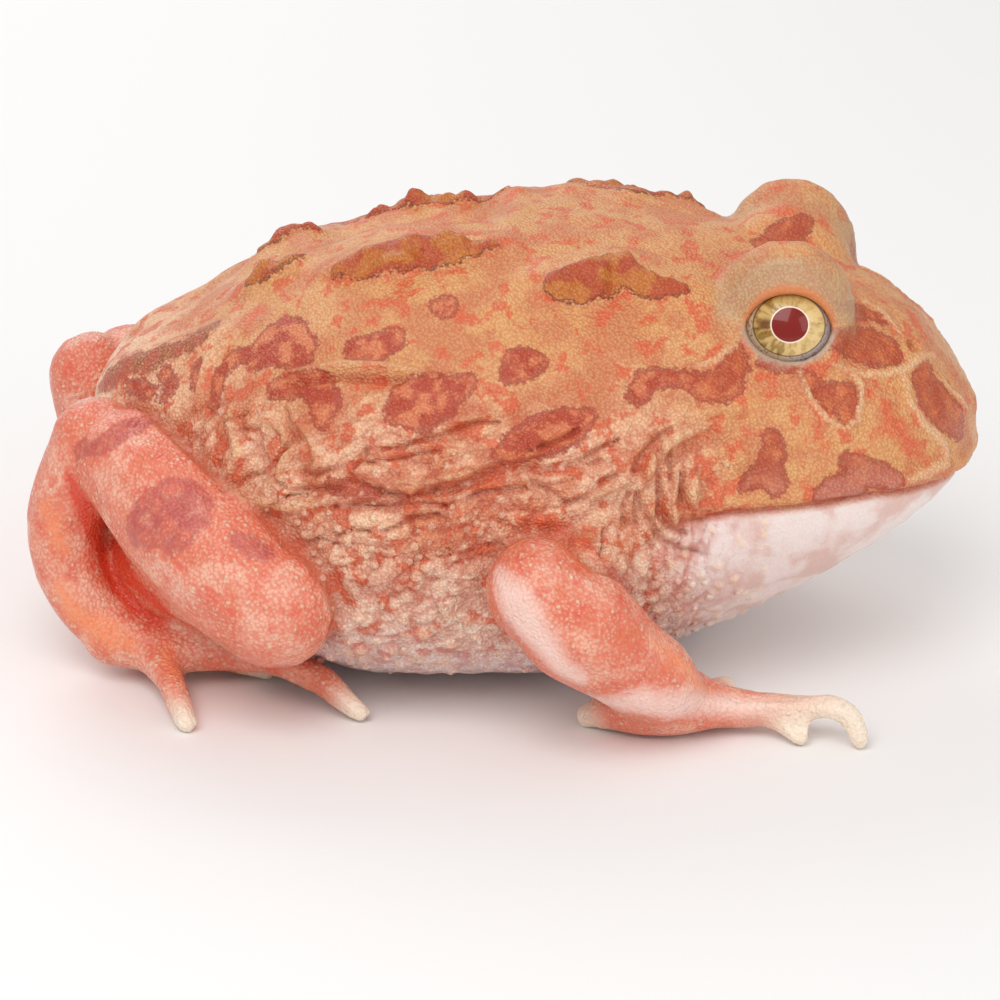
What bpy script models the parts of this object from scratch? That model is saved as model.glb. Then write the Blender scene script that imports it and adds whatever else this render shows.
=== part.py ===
# Argentine horned frog, an adult of the pale red form, life size and sitting.
# The frog faces +X, its left side is +Y, and it rests on the plane Z = 0.
# Every size below is in millimetres; place() turns it into metres.

import math
import random

import bmesh
import bpy
from mathutils import Matrix, Vector

MM = 0.001
GAP = 0.3  # clearance between neighbouring pieces
RIGHT, LEFT = -1, 1  # the sign of Y on each side of the body
SIDE_NAMES = {RIGHT: "right", LEFT: "left"}

# Lines of the trunk, from the rump to the tip of the snout:
# station X, top Z, bottom Z, half width, Z of the widest line, fullness above it, fullness below it
TRUNK_LINES = [
    (-50.8, 27.5, 21.0, 3.0, 24.0, 2.0, 2.0),
    (-49.3, 32.3, 15.5, 9.0, 23.5, 2.0, 2.0),
    (-45.0, 36.2, 9.0, 16.5, 23.0, 2.0, 2.0),
    (-38.0, 39.8, 4.0, 25.0, 22.0, 2.0, 2.0),
    (-28.0, 46.3, 1.0, 32.0, 21.0, 2.1, 2.1),
    (-15.0, 52.4, -0.7, 36.5, 20.0, 2.2, 2.4),
    (0.0, 53.8, -0.7, 36.8, 20.5, 2.25, 2.4),
    (12.0, 53.3, -0.4, 34.0, 21.0, 2.25, 2.4),
    (22.0, 52.3, 1.5, 30.0, 22.5, 2.2, 2.2),
    (30.0, 50.8, 4.8, 27.5, 23.5, 2.1, 2.0),
    (38.0, 48.5, 8.8, 24.5, 24.0, 2.05, 1.9),
    (46.0, 45.3, 14.0, 20.0, 24.3, 2.1, 1.9),
    (52.0, 40.7, 19.0, 15.0, 25.0, 2.2, 2.0),
    (56.3, 35.0, 23.2, 9.0, 26.5, 2.2, 2.0),
    (58.4, 31.6, 27.4, 2.5, 28.0, 2.0, 2.0),
]
TRUNK_STATIONS = 52
TRUNK_SIDES = 44
TRUNK_TRIANGLES = 5250

# Eye, for the left side: centre, radius and the way it looks
EYE = Vector((35.2, 12.2, 44.3))
EYE_RADIUS = 6.0
EYE_AXIS = Vector((0.08, 0.92, 0.39)).normalized()
EYE_OPENING = (5.3, 4.4)  # half the length and half the height of the opening between the lids
RIM_HALF_SIZE = (6.2, 5.7)  # of the middle of the ring of skin round that opening
RIM_REACH = (2.7, 3.5)  # from the eye's centre out along its axis, at the ring's ends and at its top
LID_THICKNESS = 1.7
LOWER_LID_THICKNESS = 1.0
# The swelling that holds the eye, as two ovals by centre and radii: the one over it and the one inside it
BULGES = [((35.2, 11.5, 46.0), (8.3, 5.3, 9.0)), ((34.8, 8.0, 44.6), (8.2, 8.0, 8.6))]
LID_CUT = ((35.2, 13.0, 52.4), (7.9, 5.8, 4.6))  # what is taken as the upper lid

NOSTRIL = Vector((49.8, 8.0, 40.1))
NOSTRIL_RADIUS = 0.9

# Line of the mouth, seen from the side: X and Z, from its corner's far end to the tip of the snout
MOUTH_LINE = [
    (18.0, 23.6),
    (24.0, 25.6),
    (30.0, 26.5),
    (45.0, 26.3),
    (52.0, 25.6),
    (57.0, 24.9),
    (66.0, 24.4),
]
LIP_RADIUS = 1.3
NECK = [(23.5, 64.0), (21.5, -8.0)]  # where the torso meets the head, seen from the side

# Raised patches of the back, for the right side: X and distance from the midline along the middle of each
RIDGES = [
    [(6.2, 16.6), (10.2, 14.4), (15.3, 11.8), (19.0, 13.9), (24.5, 13.9)],
    [(-19.5, 11.7), (-14.5, 11.7), (-8.6, 11.2), (1.0, 10.3)],
    [(-31.0, 4.6), (-23.5, 6.6)],
    [(-46.5, 6.0), (-42.0, 9.0), (-32.5, 12.6)],
]
RIDGE_HEIGHT = 1.1
RIDGE_RADIUS = 3.6
RIDGE_STEP = 2.4
LEFT_RIDGES_IN = 0.85  # the left side's ridges lie this much nearer the midline

# Large warts of the flank: how many a side, over which X and which turn up from the widest line
WARTS = 16
WART_X = (-33.0, 19.0)
WART_TURN = (-28.0, 26.0)
CHEEK_WARTS = 3
CHEEK_X = (27.0, 33.0)
CHEEK_TURN = (10.0, 30.0)
WART_RADIUS = (0.9, 1.7)
WART_SPACING = 3.6
WART_SEED = 11

# Limbs of the right side as routes of X, distance from the midline, Z and radius
THIGH = [(-38.8, 13.2, 12.4, 9.6), (-31.0, 21.0, 15.4, 10.0), (-26.5, 27.6, 14.6, 8.4)]
SHANK = [
    (-23.6, 33.6, 16.0, 8.2),
    (-28.8, 31.6, 19.2, 8.6),
    (-36.5, 26.8, 23.8, 7.8),
    (-43.0, 21.2, 27.8, 6.5),
]
TARSUS = [
    (-47.2, 17.8, 28.6, 5.9),
    (-51.4, 18.6, 17.5, 4.8),
    (-48.6, 20.6, 9.0, 4.2),
    (-43.0, 22.4, 4.9, 3.6),
]
INSTEP = [(-45.4, 22.0, 5.2, 3.8), (-37.5, 24.0, 4.2, 3.1)]
TOES = [
    [(-43.5, 19.0, 3.4, 2.3), (-40.0, 17.0, 2.0, 1.6), (-37.5, 16.4, 1.2, 1.4)],
    [(-41.5, 20.5, 3.4, 2.3), (-35.5, 18.8, 2.0, 1.7), (-31.5, 18.4, 1.2, 1.4)],
    [(-38.5, 22.5, 3.6, 2.3), (-31.0, 21.8, 2.4, 1.7), (-26.5, 22.0, 1.2, 1.4)],
    [(-37.5, 24.0, 4.2, 2.6), (-30.1, 24.8, 4.4, 2.0), (-22.5, 27.2, 4.0, 1.7), (-13.8, 32.5, 1.2, 1.4)],
    [(-40.0, 24.5, 4.0, 2.5), (-37.2, 29.5, 3.0, 1.9), (-34.1, 37.0, 1.2, 1.5)],
]
HEEL_BACK = {RIGHT: 0.0, LEFT: 7.2}  # the left heel lies further back and lower
HEEL_DROP = {RIGHT: 0.0, LEFT: 5.2}

UPPER_ARM = [(17.0, 20.0, 19.0, 7.6), (14.0, 27.0, 20.0, 7.3), (11.5, 32.6, 20.4, 6.7)]
FOREARM = [(7.8, 38.3, 20.8, 6.3), (12.6, 38.3, 16.6, 7.3), (17.9, 37.2, 11.7, 5.8), (22.4, 35.6, 8.0, 4.3)]
PALM = [(15.8, 32.4, 2.8, 2.6), (21.5, 32.9, 4.2, 3.7), (28.0, 31.4, 3.9, 3.4), (31.5, 31.2, 3.5, 2.9)]
FINGERS = [
    [(26.0, 30.0, 3.8, 2.5), (28.2, 25.5, 2.8, 1.8), (29.4, 21.5, 1.2, 1.5)],
    [(31.0, 31.2, 3.2, 2.3), (35.4, 31.8, 2.5, 1.7), (38.5, 34.3, 1.2, 1.4)],
    [(31.0, 31.2, 3.9, 2.5), (38.3, 32.2, 4.4, 1.8), (44.0, 33.6, 4.0, 1.5), (45.5, 34.6, 1.2, 1.4)],
    [(17.5, 32.4, 2.9, 2.5), (14.8, 31.8, 2.1, 1.9), (13.0, 31.2, 1.3, 1.6)],
]
LEFT_ARM_BACK = 3.0  # the left arm is set this much further back

SKIN_COLOURS = {
    "skin_back": (0.80, 0.38, 0.20),
    "skin_limb": (0.84, 0.32, 0.24),
    "skin_throat": (0.88, 0.62, 0.56),
    "skin_lid": (0.60, 0.42, 0.27),
    "eye_gloss": (0.66, 0.47, 0.20),
}
ROUGHNESS = {"eye_gloss": 0.06}
SKIN_ROUGHNESS = 0.42
VOXEL = 0.8
SMOOTHING = 5
SHARP_ANGLE = math.radians(38)


def place(x, y, z):
    """A point given in millimetres, in metres."""
    return Vector((x, y, z)) * MM


def value_at(stations, values, x):
    """The value at x on a smooth curve through the stations' values."""
    last = len(stations) - 1
    i = max(0, min(last - 1, sum(s <= x for s in stations) - 1))

    def slope(k):
        a, b = max(0, k - 1), min(last, k + 1)
        return (values[b] - values[a]) / (stations[b] - stations[a])

    span = stations[i + 1] - stations[i]
    t = (x - stations[i]) / span
    start, end = values[i], values[i + 1]
    return (
        start * (1 + 2 * t) * (1 - t) ** 2
        + slope(i) * span * t * (1 - t) ** 2
        + end * t * t * (3 - 2 * t)
        - slope(i + 1) * span * t * t * (1 - t)
    )


def new_object(name, mesh):
    made = bpy.data.objects.new(name, mesh)
    bpy.context.scene.collection.objects.link(made)
    return made


def mesh_object(name, bm):
    mesh = bpy.data.meshes.new(name)
    bm.to_mesh(mesh)
    bm.free()
    return new_object(name, mesh)


def apply_modifiers(obj):
    """Swaps the object's mesh for the one that its modifiers make."""
    graph = bpy.context.evaluated_depsgraph_get()
    made = bpy.data.meshes.new_from_object(obj.evaluated_get(graph))
    obj.modifiers.clear()
    old, obj.data = obj.data, made
    bpy.data.meshes.remove(old)


def remove(*objects):
    for obj in objects:
        bpy.data.objects.remove(obj)


def copy_of(obj):
    return new_object(obj.name + "_copy", obj.data.copy())


def trunk_values(x):
    """The trunk's lines at station x: top, bottom, half width, widest Z and the two fullnesses."""
    stations = [line[0] for line in TRUNK_LINES]
    return [value_at(stations, [line[k] for line in TRUNK_LINES], x) for k in range(1, 7)]


def trunk_ring(x):
    """One cross-section of the trunk: a superellipse, fuller or leaner above and below its widest line."""
    top, bottom, half, widest, upper, lower = trunk_values(x)
    ring = []
    for k in range(TRUNK_SIDES):
        angle = 2 * math.pi * k / TRUNK_SIDES
        c, s = math.cos(angle), math.sin(angle)
        fullness, height = (upper, top - widest) if s > 0 else (lower, widest - bottom)
        y = half * math.copysign(abs(c) ** (2 / fullness), c)
        z = widest + height * math.copysign(abs(s) ** (2 / fullness), s)
        ring.append(place(x, y, z))
    return ring


def trunk_half_width(x, z):
    """How far the trunk's side lies from the midline at this station and height."""
    top, bottom, half, widest, upper, lower = trunk_values(x)
    fullness, height = (upper, top - widest) if z > widest else (lower, widest - bottom)
    return half * max(0.0, 1 - (abs(z - widest) / height) ** fullness) ** (1 / fullness)


def trunk_point(x, turn):
    """A point of the trunk's left side, by how far round its section it lies above the widest line."""
    top, bottom, half, widest, upper, lower = trunk_values(x)
    fullness, height = (upper, top - widest) if turn > 0 else (lower, widest - bottom)
    rise = height * abs(math.sin(turn)) ** (2 / fullness)
    return Vector((x, half * math.cos(turn) ** (2 / fullness), widest + math.copysign(rise, turn)))


def trunk_turn(x, y):
    """How far round the upper section the point at this X and distance from the midline lies."""
    _, _, half, _, upper, _ = trunk_values(x)
    return math.acos((y / half) ** (upper / 2))


def dome(x, turn, side, radius, height, segments=6, rings=5):
    """A low round swelling: the part of a sunk ball that stands out of the trunk's side."""
    point = trunk_point(x, turn)
    normal = (trunk_point(x + 0.5, turn) - point).cross(trunk_point(x, turn + 0.02) - point).normalized()
    if normal.y < 0:
        normal.negate()
    ball = (radius**2 + height**2) / (2 * height)
    return ellipsoid(on_side(point - normal * (ball - height), side), (ball,) * 3, segments, rings)


def ridge_domes(side):
    """Each raised patch of the back as a row of domes that run into one another."""
    domes = []
    for line in RIDGES:
        stations, reaches = zip(*line)
        steps = max(1, round((stations[-1] - stations[0]) / RIDGE_STEP))
        for k in range(steps + 1):
            x = stations[0] + (stations[-1] - stations[0]) * k / steps
            y = value_at(stations, reaches, x) * (LEFT_RIDGES_IN if side == LEFT else 1.0)
            taper = 0.7 if k in (0, steps) else 1.0
            domes.append(dome(x, trunk_turn(x, y), side, RIDGE_RADIUS * taper, RIDGE_HEIGHT * taper, 20, 12))
    return domes


def wart_domes(side, count, span, turns, seed):
    """Warts strewn over part of the trunk's side, none of them touching another."""
    pick = random.Random(seed)
    taken, domes = [], []
    while len(domes) < count:
        x, turn = pick.uniform(*span), math.radians(pick.uniform(*turns))
        point = trunk_point(x, turn)
        if any((point - other).length < WART_SPACING for other in taken):
            continue
        taken.append(point)
        radius = pick.uniform(*WART_RADIUS)
        domes.append(dome(x, turn, side, radius, radius * 0.6))
    return domes


def trunk_loft():
    """The head and torso as one loft, with closer stations towards its two ends."""
    first, last = TRUNK_LINES[0][0], TRUNK_LINES[-1][0]
    bm = bmesh.new()
    loops = []
    for k in range(TRUNK_STATIONS):
        share = (1 - math.cos(math.pi * k / (TRUNK_STATIONS - 1))) / 2
        loops.append([bm.verts.new(p) for p in trunk_ring(first + share * (last - first))])
    for a, b in zip(loops, loops[1:]):
        for i in range(TRUNK_SIDES):
            j = (i + 1) % TRUNK_SIDES
            bm.faces.new((a[i], a[j], b[j], b[i]))
    bm.faces.new(loops[0])
    bm.faces.new(loops[-1])
    bmesh.ops.recalc_face_normals(bm, faces=bm.faces)
    return mesh_object("trunk_loft", bm)


def ellipsoid(centre, radii, segments=18, rings=10):
    bm = bmesh.new()
    bmesh.ops.create_uvsphere(bm, u_segments=segments, v_segments=rings, radius=1.0)
    sized = Matrix.Diagonal((*(r * MM for r in radii), 1.0))
    bmesh.ops.transform(bm, matrix=Matrix.Translation(place(*centre)) @ sized, verts=bm.verts)
    return mesh_object("ellipsoid", bm)


def tube(route, side=LEFT):
    """A round limb through the route's points (X, distance from the midline, Z, radius), with ball ends."""
    curve = bpy.data.curves.new("tube", "CURVE")
    curve.dimensions = "3D"
    curve.bevel_depth = MM
    curve.bevel_resolution = 4
    curve.resolution_u = 8
    curve.use_fill_caps = True
    spline = curve.splines.new("BEZIER")
    spline.bezier_points.add(len(route) - 1)
    for point, (x, y, z, radius) in zip(spline.bezier_points, route):
        point.co = place(x, y * side, z)
        point.radius = radius
        point.handle_left_type = point.handle_right_type = "AUTO"
    guide = new_object("tube_guide", curve)
    graph = bpy.context.evaluated_depsgraph_get()
    mesh = bpy.data.meshes.new_from_object(guide.evaluated_get(graph))
    remove(guide)
    bm = bmesh.new()
    bm.from_mesh(mesh)
    bmesh.ops.remove_doubles(bm, verts=bm.verts, dist=1e-6)
    bmesh.ops.recalc_face_normals(bm, faces=bm.faces)
    balls = [ellipsoid((x, y * side, z), (r, r, r)) for x, y, z, r in (route[0], route[-1])]
    return [mesh_object("tube", bm), *balls]


def fuse(name, pieces, triangles):
    """Melts closed pieces into one smooth skin, and thins it to about this many triangles."""
    bm = bmesh.new()
    for piece in pieces:
        bm.from_mesh(piece.data)
    remove(*pieces)
    body = mesh_object(name, bm)
    melt = body.modifiers.new("melt", "REMESH")
    melt.mode = "VOXEL"
    melt.voxel_size = VOXEL * MM
    soften = body.modifiers.new("soften", "SMOOTH")
    soften.factor = 0.5
    soften.iterations = SMOOTHING
    apply_modifiers(body)
    faces = sum(len(p.vertices) - 2 for p in body.data.polygons)
    thin = body.modifiers.new("thin", "DECIMATE")
    thin.ratio = min(1.0, triangles / faces)
    apply_modifiers(body)
    return body


def closed_surfaces(bm):
    """The mesh's faces in groups, one for each surface that hangs together."""
    left, groups = set(bm.faces), []
    while left:
        group, waiting = [], [left.pop()]
        while waiting:
            face = waiting.pop()
            group.append(face)
            for edge in face.edges:
                for other in edge.link_faces:
                    if other in left:
                        left.remove(other)
                        waiting.append(other)
        groups.append(group)
    return groups


def keep_largest(obj):
    """Drops every closed surface of the object but its largest."""
    bm = bmesh.new()
    bm.from_mesh(obj.data)
    groups = sorted(closed_surfaces(bm), key=lambda group: sum(f.calc_area() for f in group))
    scraps = [face for group in groups[:-1] for face in group]
    bmesh.ops.delete(bm, geom=scraps, context="FACES")
    bm.to_mesh(obj.data)
    bm.free()


def boolean(obj, other, operation):
    """One Boolean step between closed pieces, applied, with the other object then removed."""
    step = obj.modifiers.new(operation.lower(), "BOOLEAN")
    step.operation = operation
    step.object = other
    step.solver = "MANIFOLD"
    apply_modifiers(obj)
    remove(other)
    return obj


def grown(obj):
    """A copy of the object with its surface moved out by the gap."""
    copy = copy_of(obj)
    step = copy.modifiers.new("grow", "DISPLACE")
    step.mid_level = 0.0
    step.strength = GAP * MM
    apply_modifiers(copy)
    return copy


def clear_of(obj, *neighbours):
    """Cuts the object back, so that it meets each neighbour face to face across the gap."""
    for neighbour in neighbours:
        boolean(obj, grown(neighbour), "DIFFERENCE")
    keep_largest(obj)


def block(outline, half_width=70.0):
    """A block with its outline in the XZ plane, as wide as this on both sides of the midline."""
    bm = bmesh.new()
    near = [bm.verts.new(place(x, -half_width, z)) for x, z in outline]
    far = [bm.verts.new(place(x, half_width, z)) for x, z in outline]
    bm.faces.new(near)
    bm.faces.new(far)
    for i in range(len(outline)):
        j = (i + 1) % len(outline)
        bm.faces.new((near[i], near[j], far[j], far[i]))
    bmesh.ops.recalc_face_normals(bm, faces=bm.faces)
    return mesh_object("block", bm)


def opening_rod(side):
    """An oval cutter that opens the eyelids, from inside the eye outwards."""
    bm = bmesh.new()
    bmesh.ops.create_cone(bm, cap_ends=True, segments=28, radius1=MM, radius2=MM, depth=12 * MM)
    axis, across, up = eye_frame()
    turn = Matrix((across * EYE_OPENING[0], up * EYE_OPENING[1], axis)).transposed().to_4x4()
    middle = Matrix.Translation((EYE + axis * 8.0) * MM)
    flip = Matrix.Diagonal((1, side, 1, 1))
    bmesh.ops.transform(bm, matrix=flip @ middle @ turn, verts=bm.verts)
    bmesh.ops.recalc_face_normals(bm, faces=bm.faces)
    return mesh_object("opening_rod", bm)


def on_side(point, side):
    """A left-side point or direction, on either side."""
    return Vector((point[0], point[1] * side, point[2]))


def eye_frame():
    """The left eye's axis, and the ways across the opening and up it."""
    across = EYE_AXIS.cross(Vector((0, 0, 1))).normalized()
    return EYE_AXIS, across, across.cross(EYE_AXIS)


def lid_rim():
    """The ring of skin round the left eye as a closed route, thickest along the upper lid."""
    axis, across, up = eye_frame()
    route = []
    for k in range(17):
        c, s = math.cos(2 * math.pi * k / 16), math.sin(2 * math.pi * k / 16)
        reach = RIM_REACH[0] + (RIM_REACH[1] - RIM_REACH[0]) * abs(s)
        point = EYE + axis * reach + across * c * RIM_HALF_SIZE[0] + up * s * RIM_HALF_SIZE[1]
        thickness = LOWER_LID_THICKNESS + (LID_THICKNESS - LOWER_LID_THICKNESS) * max(0.0, s) ** 0.7
        route.append((*point, thickness))
    return route


def lip_route():
    """A low roll of skin just above the mouth's line, from corner to corner round the snout."""
    stations = [line[0] for line in MOUTH_LINE]
    heights = [line[1] for line in MOUTH_LINE]
    route = []
    for x in (29.0, 35.0, 41.0, 47.0, 52.0, 55.5, 57.2):
        z = value_at(stations, heights, x) + LIP_RADIUS * 0.8
        route.append((x - 0.4, trunk_half_width(x, z) - LIP_RADIUS * 0.55, z, LIP_RADIUS))
    mirrored = [(x, -y, z, r) for x, y, z, r in reversed(route)]
    return [*route, *mirrored]


def whole_trunk():
    """Head, torso and lower jaw in one, resting on the floor."""
    pieces = [trunk_loft(), *tube(lip_route())]
    for side in (RIGHT, LEFT):
        pieces += [ellipsoid(on_side(centre, side), radii) for centre, radii in BULGES]
        pieces.append(ellipsoid(on_side(NOSTRIL - Vector((0.9, 0.4, 0.9)), side), (1.9, 1.8, 1.8)))
        pieces += tube(lid_rim(), side)
        pieces += ridge_domes(side)
    return on_floor(fuse("trunk", pieces, TRUNK_TRIANGLES))


def on_floor(obj):
    """Flattens whatever reaches below the floor."""
    return boolean(obj, block([(-90, 0), (90, 0), (90, -20), (-90, -20)]), "DIFFERENCE")


def raise_warts(piece, count, span, turns):
    """Joins the warts of both sides to a piece of the trunk."""
    warts = bpy.data.collections.new("warts")
    for side in (RIGHT, LEFT):
        for wart in wart_domes(side, count, span, turns, WART_SEED + side):
            bpy.context.scene.collection.objects.unlink(wart)
            warts.objects.link(wart)
    step = piece.modifiers.new("warts", "BOOLEAN")
    step.operation = "UNION"
    step.operand_type = "COLLECTION"
    step.collection = warts
    step.solver = "EXACT"
    apply_modifiers(piece)
    remove(*warts.objects)
    bpy.data.collections.remove(warts)
    keep_largest(piece)


def shifted(line, along, up):
    return [(x + along, z + up) for x, z in line]


def part_trunk(trunk):
    """The trunk parted by thin cuts into torso, head and lower jaw."""
    half = GAP / 2
    behind = block([*shifted(NECK, -half, 0), (-80, -8), (-80, 64)])
    upper = block([*shifted(MOUTH_LINE, 0, half), (66, 64), (14, 64)])
    lower = block([*shifted(MOUTH_LINE, 0, -half), (66, -8), (14, -8)])
    front = block([*shifted(NECK, half, 0), (80, -8), (80, 64)])
    torso = boolean(copy_of(trunk), behind, "INTERSECT")
    boolean(trunk, front, "INTERSECT")
    head = boolean(copy_of(trunk), upper, "INTERSECT")
    lower_jaw = boolean(trunk, lower, "INTERSECT")
    torso.name, head.name, lower_jaw.name = "torso", "head", "lower_jaw"
    for piece in (torso, head, lower_jaw):
        keep_largest(piece)
    return torso, head, lower_jaw


def eye_and_lid(head, side):
    """The eyeball in its socket, and the upper lid parted from the head."""
    eye = ellipsoid(on_side(EYE, side), (EYE_RADIUS,) * 3, 18, 10)
    eye.name = "eye_" + SIDE_NAMES[side]
    boolean(head, opening_rod(side), "DIFFERENCE")
    clear_of(head, eye)
    lid = copy_of(head)
    lid.name = "eyelid_" + SIDE_NAMES[side]
    cut_centre, cut_radii = on_side(LID_CUT[0], side), LID_CUT[1]
    boolean(lid, ellipsoid(cut_centre, cut_radii), "INTERSECT")
    keep_largest(lid)
    boolean(head, ellipsoid(cut_centre, [r + GAP for r in cut_radii]), "DIFFERENCE")
    keep_largest(head)
    return eye, lid


def pierce_nostrils(head):
    for side in (RIGHT, LEFT):
        pit = ellipsoid(on_side(NOSTRIL + Vector((0.5, 0.3, 0.5)), side), (NOSTRIL_RADIUS,) * 3, 12, 8)
        boolean(head, pit, "DIFFERENCE")


def limb(name, side, routes, triangles):
    pieces = [piece for route in routes for piece in tube(route, side)]
    return on_floor(fuse(f"{name}_{SIDE_NAMES[side]}", pieces, triangles))


def moved(route, back, drop):
    """A route set back and down, all of it at its high end and none of it at the floor."""
    ceiling = max(z for _, _, z, _ in route)
    shares = [(z / ceiling) ** 2 for _, _, z, _ in route]
    return [(x - back * s, y, z - drop * s, r) for s, (x, y, z, r) in zip(shares, route)]


def hind_leg(torso, side):
    back, drop = HEEL_BACK[side], HEEL_DROP[side]
    knee, *calf = SHANK
    thigh = limb("thigh", side, [THIGH], 180)
    shank = limb("shank", side, [[knee, *moved(calf, back, drop)]], 300)
    foot = limb("foot", side, [moved(TARSUS, back, drop), INSTEP, *TOES], 780)
    clear_of(foot, torso, thigh, shank)
    clear_of(shank, torso, thigh)
    clear_of(thigh, torso)
    return thigh, shank, foot


def fore_leg(trunk, side):
    back = LEFT_ARM_BACK if side == LEFT else 0.0
    upper, fore, palm, *fingers = (
        [(x - back, y, z, r) for x, y, z, r in route] for route in (UPPER_ARM, FOREARM, PALM, *FINGERS)
    )
    upper_arm = limb("upper_arm", side, [upper], 150)
    forearm = limb("forearm", side, [fore], 220)
    hand = limb("hand", side, [palm, *fingers], 540)
    clear_of(hand, *trunk, forearm)
    clear_of(forearm, *trunk, upper_arm)
    clear_of(upper_arm, *trunk)
    return upper_arm, forearm, hand


def skin_material(name):
    material = bpy.data.materials.new(name)
    material.use_nodes = True
    shader = material.node_tree.nodes["Principled BSDF"]
    shader.inputs["Base Color"].default_value = (*SKIN_COLOURS[name], 1.0)
    shader.inputs["Roughness"].default_value = ROUGHNESS.get(name, SKIN_ROUGHNESS)
    shader.inputs["Metallic"].default_value = 0.0
    material.diffuse_color = (*SKIN_COLOURS[name], 1.0)
    return material


def finish(groups):
    """Gives each node its material and smooth shading, and sets the whole over the origin."""
    home = bpy.data.collections.new("argentine_horned_frog")
    bpy.context.scene.collection.children.link(home)
    nodes = [node for group in groups.values() for node in group]
    corners = [v.co for node in nodes for v in node.data.vertices]
    low = Vector([min(c[k] for c in corners) for k in range(3)])
    high = Vector([max(c[k] for c in corners) for k in range(3)])
    shift = Matrix.Translation((-(low.x + high.x) / 2, -(low.y + high.y) / 2, -low.z))
    for slot, group in groups.items():
        material = skin_material(slot)
        for node in group:
            node.data.transform(shift)
            node.data.materials.clear()
            node.data.materials.append(material)
            node.data.name = node.name
            node.data.set_sharp_from_angle(angle=SHARP_ANGLE)
            bpy.context.scene.collection.objects.unlink(node)
            home.objects.link(node)


def main():
    for obj in list(bpy.data.objects):
        bpy.data.objects.remove(obj)
    torso, head, lower_jaw = part_trunk(whole_trunk())
    raise_warts(torso, WARTS, WART_X, WART_TURN)
    raise_warts(head, CHEEK_WARTS, CHEEK_X, CHEEK_TURN)
    eyes, lids, limbs = [], [], []
    for side in (RIGHT, LEFT):
        eye, lid = eye_and_lid(head, side)
        eyes.append(eye)
        lids.append(lid)
        limbs += hind_leg(torso, side)
        limbs += fore_leg((torso, head, lower_jaw), side)
    pierce_nostrils(head)
    finish(
        {
            "skin_back": [torso, head],
            "skin_limb": limbs,
            "skin_throat": [lower_jaw],
            "skin_lid": lids,
            "eye_gloss": eyes,
        }
    )


main()
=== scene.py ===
# %% [markdown]
# # Argentine horned frog
# This lesson dresses a life-size model of the frog, sitting still with its mouth shut.
# The imported solids are the fixed frame. They give every size, so the script starts by loading them.
# Blender works in metres, and a frog is easier to think of in millimetres, so MM turns one to the other.

# %% Load the frame
import itertools
import math

import bmesh
import bpy
import numpy as np
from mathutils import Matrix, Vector
from mathutils.bvhtree import BVHTree
from mathutils.kdtree import KDTree


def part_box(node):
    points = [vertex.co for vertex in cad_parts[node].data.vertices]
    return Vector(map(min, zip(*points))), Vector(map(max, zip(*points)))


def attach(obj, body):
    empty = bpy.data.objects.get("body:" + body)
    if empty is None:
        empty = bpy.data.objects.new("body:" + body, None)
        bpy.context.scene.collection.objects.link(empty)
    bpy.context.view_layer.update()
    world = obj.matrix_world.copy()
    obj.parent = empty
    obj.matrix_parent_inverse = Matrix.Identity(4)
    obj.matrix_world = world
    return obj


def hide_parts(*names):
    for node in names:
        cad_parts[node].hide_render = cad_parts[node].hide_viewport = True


MM = 0.001
NEAR, FAR = -1, 1  # the sign of Y on the frog's right side, which faces the camera, and on its left

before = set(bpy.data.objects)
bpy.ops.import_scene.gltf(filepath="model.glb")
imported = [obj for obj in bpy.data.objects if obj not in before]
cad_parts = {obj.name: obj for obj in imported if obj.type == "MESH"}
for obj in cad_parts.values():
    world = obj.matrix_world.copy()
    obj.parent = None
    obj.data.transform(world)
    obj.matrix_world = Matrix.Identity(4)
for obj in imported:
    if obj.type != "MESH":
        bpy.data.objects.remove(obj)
stage = bpy.context.scene
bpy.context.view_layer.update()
flesh = sorted(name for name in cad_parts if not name.startswith("eye_"))
print("frame:", len(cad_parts), "nodes,", len(flesh), "of them flesh")

# %% [markdown]
# ## Camera
# The camera stands half a metre away, a little in front of square to the frog's side and well above it.
# A long lens keeps the near leg from looking larger than it is.
# ray() gives the line of sight through one pixel of the picture, so that a marking can be placed by
# where it is seen.

# %% Camera
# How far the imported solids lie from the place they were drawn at, in mm.
SHIFT = (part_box("eye_right")[0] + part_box("eye_left")[1]) / 2 / MM - Vector((35.2, 0.0, 44.3))
AIM = Vector((SHIFT.x, 0.0, 15.5))
VIEW_AZIMUTH, VIEW_ELEVATION = math.radians(5), math.radians(23)
DISTANCE = 500.0
LENS, SENSOR = 144.0, 36.0
PICTURE = 1000
FOCUS = PICTURE * LENS / SENSOR  # the length of the lens in pixels

back = Vector((
    math.sin(VIEW_AZIMUTH) * math.cos(VIEW_ELEVATION),
    -math.cos(VIEW_AZIMUTH) * math.cos(VIEW_ELEVATION),
    math.sin(VIEW_ELEVATION),
))
eyepoint = AIM + back * DISTANCE
turned = (-back).to_track_quat("-Z", "Y")
across, upward = turned.to_matrix().col[0], turned.to_matrix().col[1]

camera = bpy.data.objects.new("camera", bpy.data.cameras.new("camera"))
camera.data.lens, camera.data.sensor_width = LENS, SENSOR
camera.data.clip_start = 0.01
camera.location = eyepoint * MM
camera.rotation_mode = "QUATERNION"
camera.rotation_quaternion = turned
stage.collection.objects.link(camera)
stage.camera = camera


def ray(px, py):
    """The direction from the camera through this pixel."""
    return (-back * FOCUS + across * (px - PICTURE / 2) + upward * (PICTURE / 2 - py)).normalized()


print("camera at", tuple(round(v) for v in eyepoint), "mm")

# %% [markdown]
# ## Floor and light
# A wide pale floor and a pale sky make a plain studio. One large soft lamp overhead models the forms,
# a weaker one from the side opens the shadows, and a third from behind draws the wet rim of the back.
# The standard view transform keeps the skin's own colours.

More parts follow.
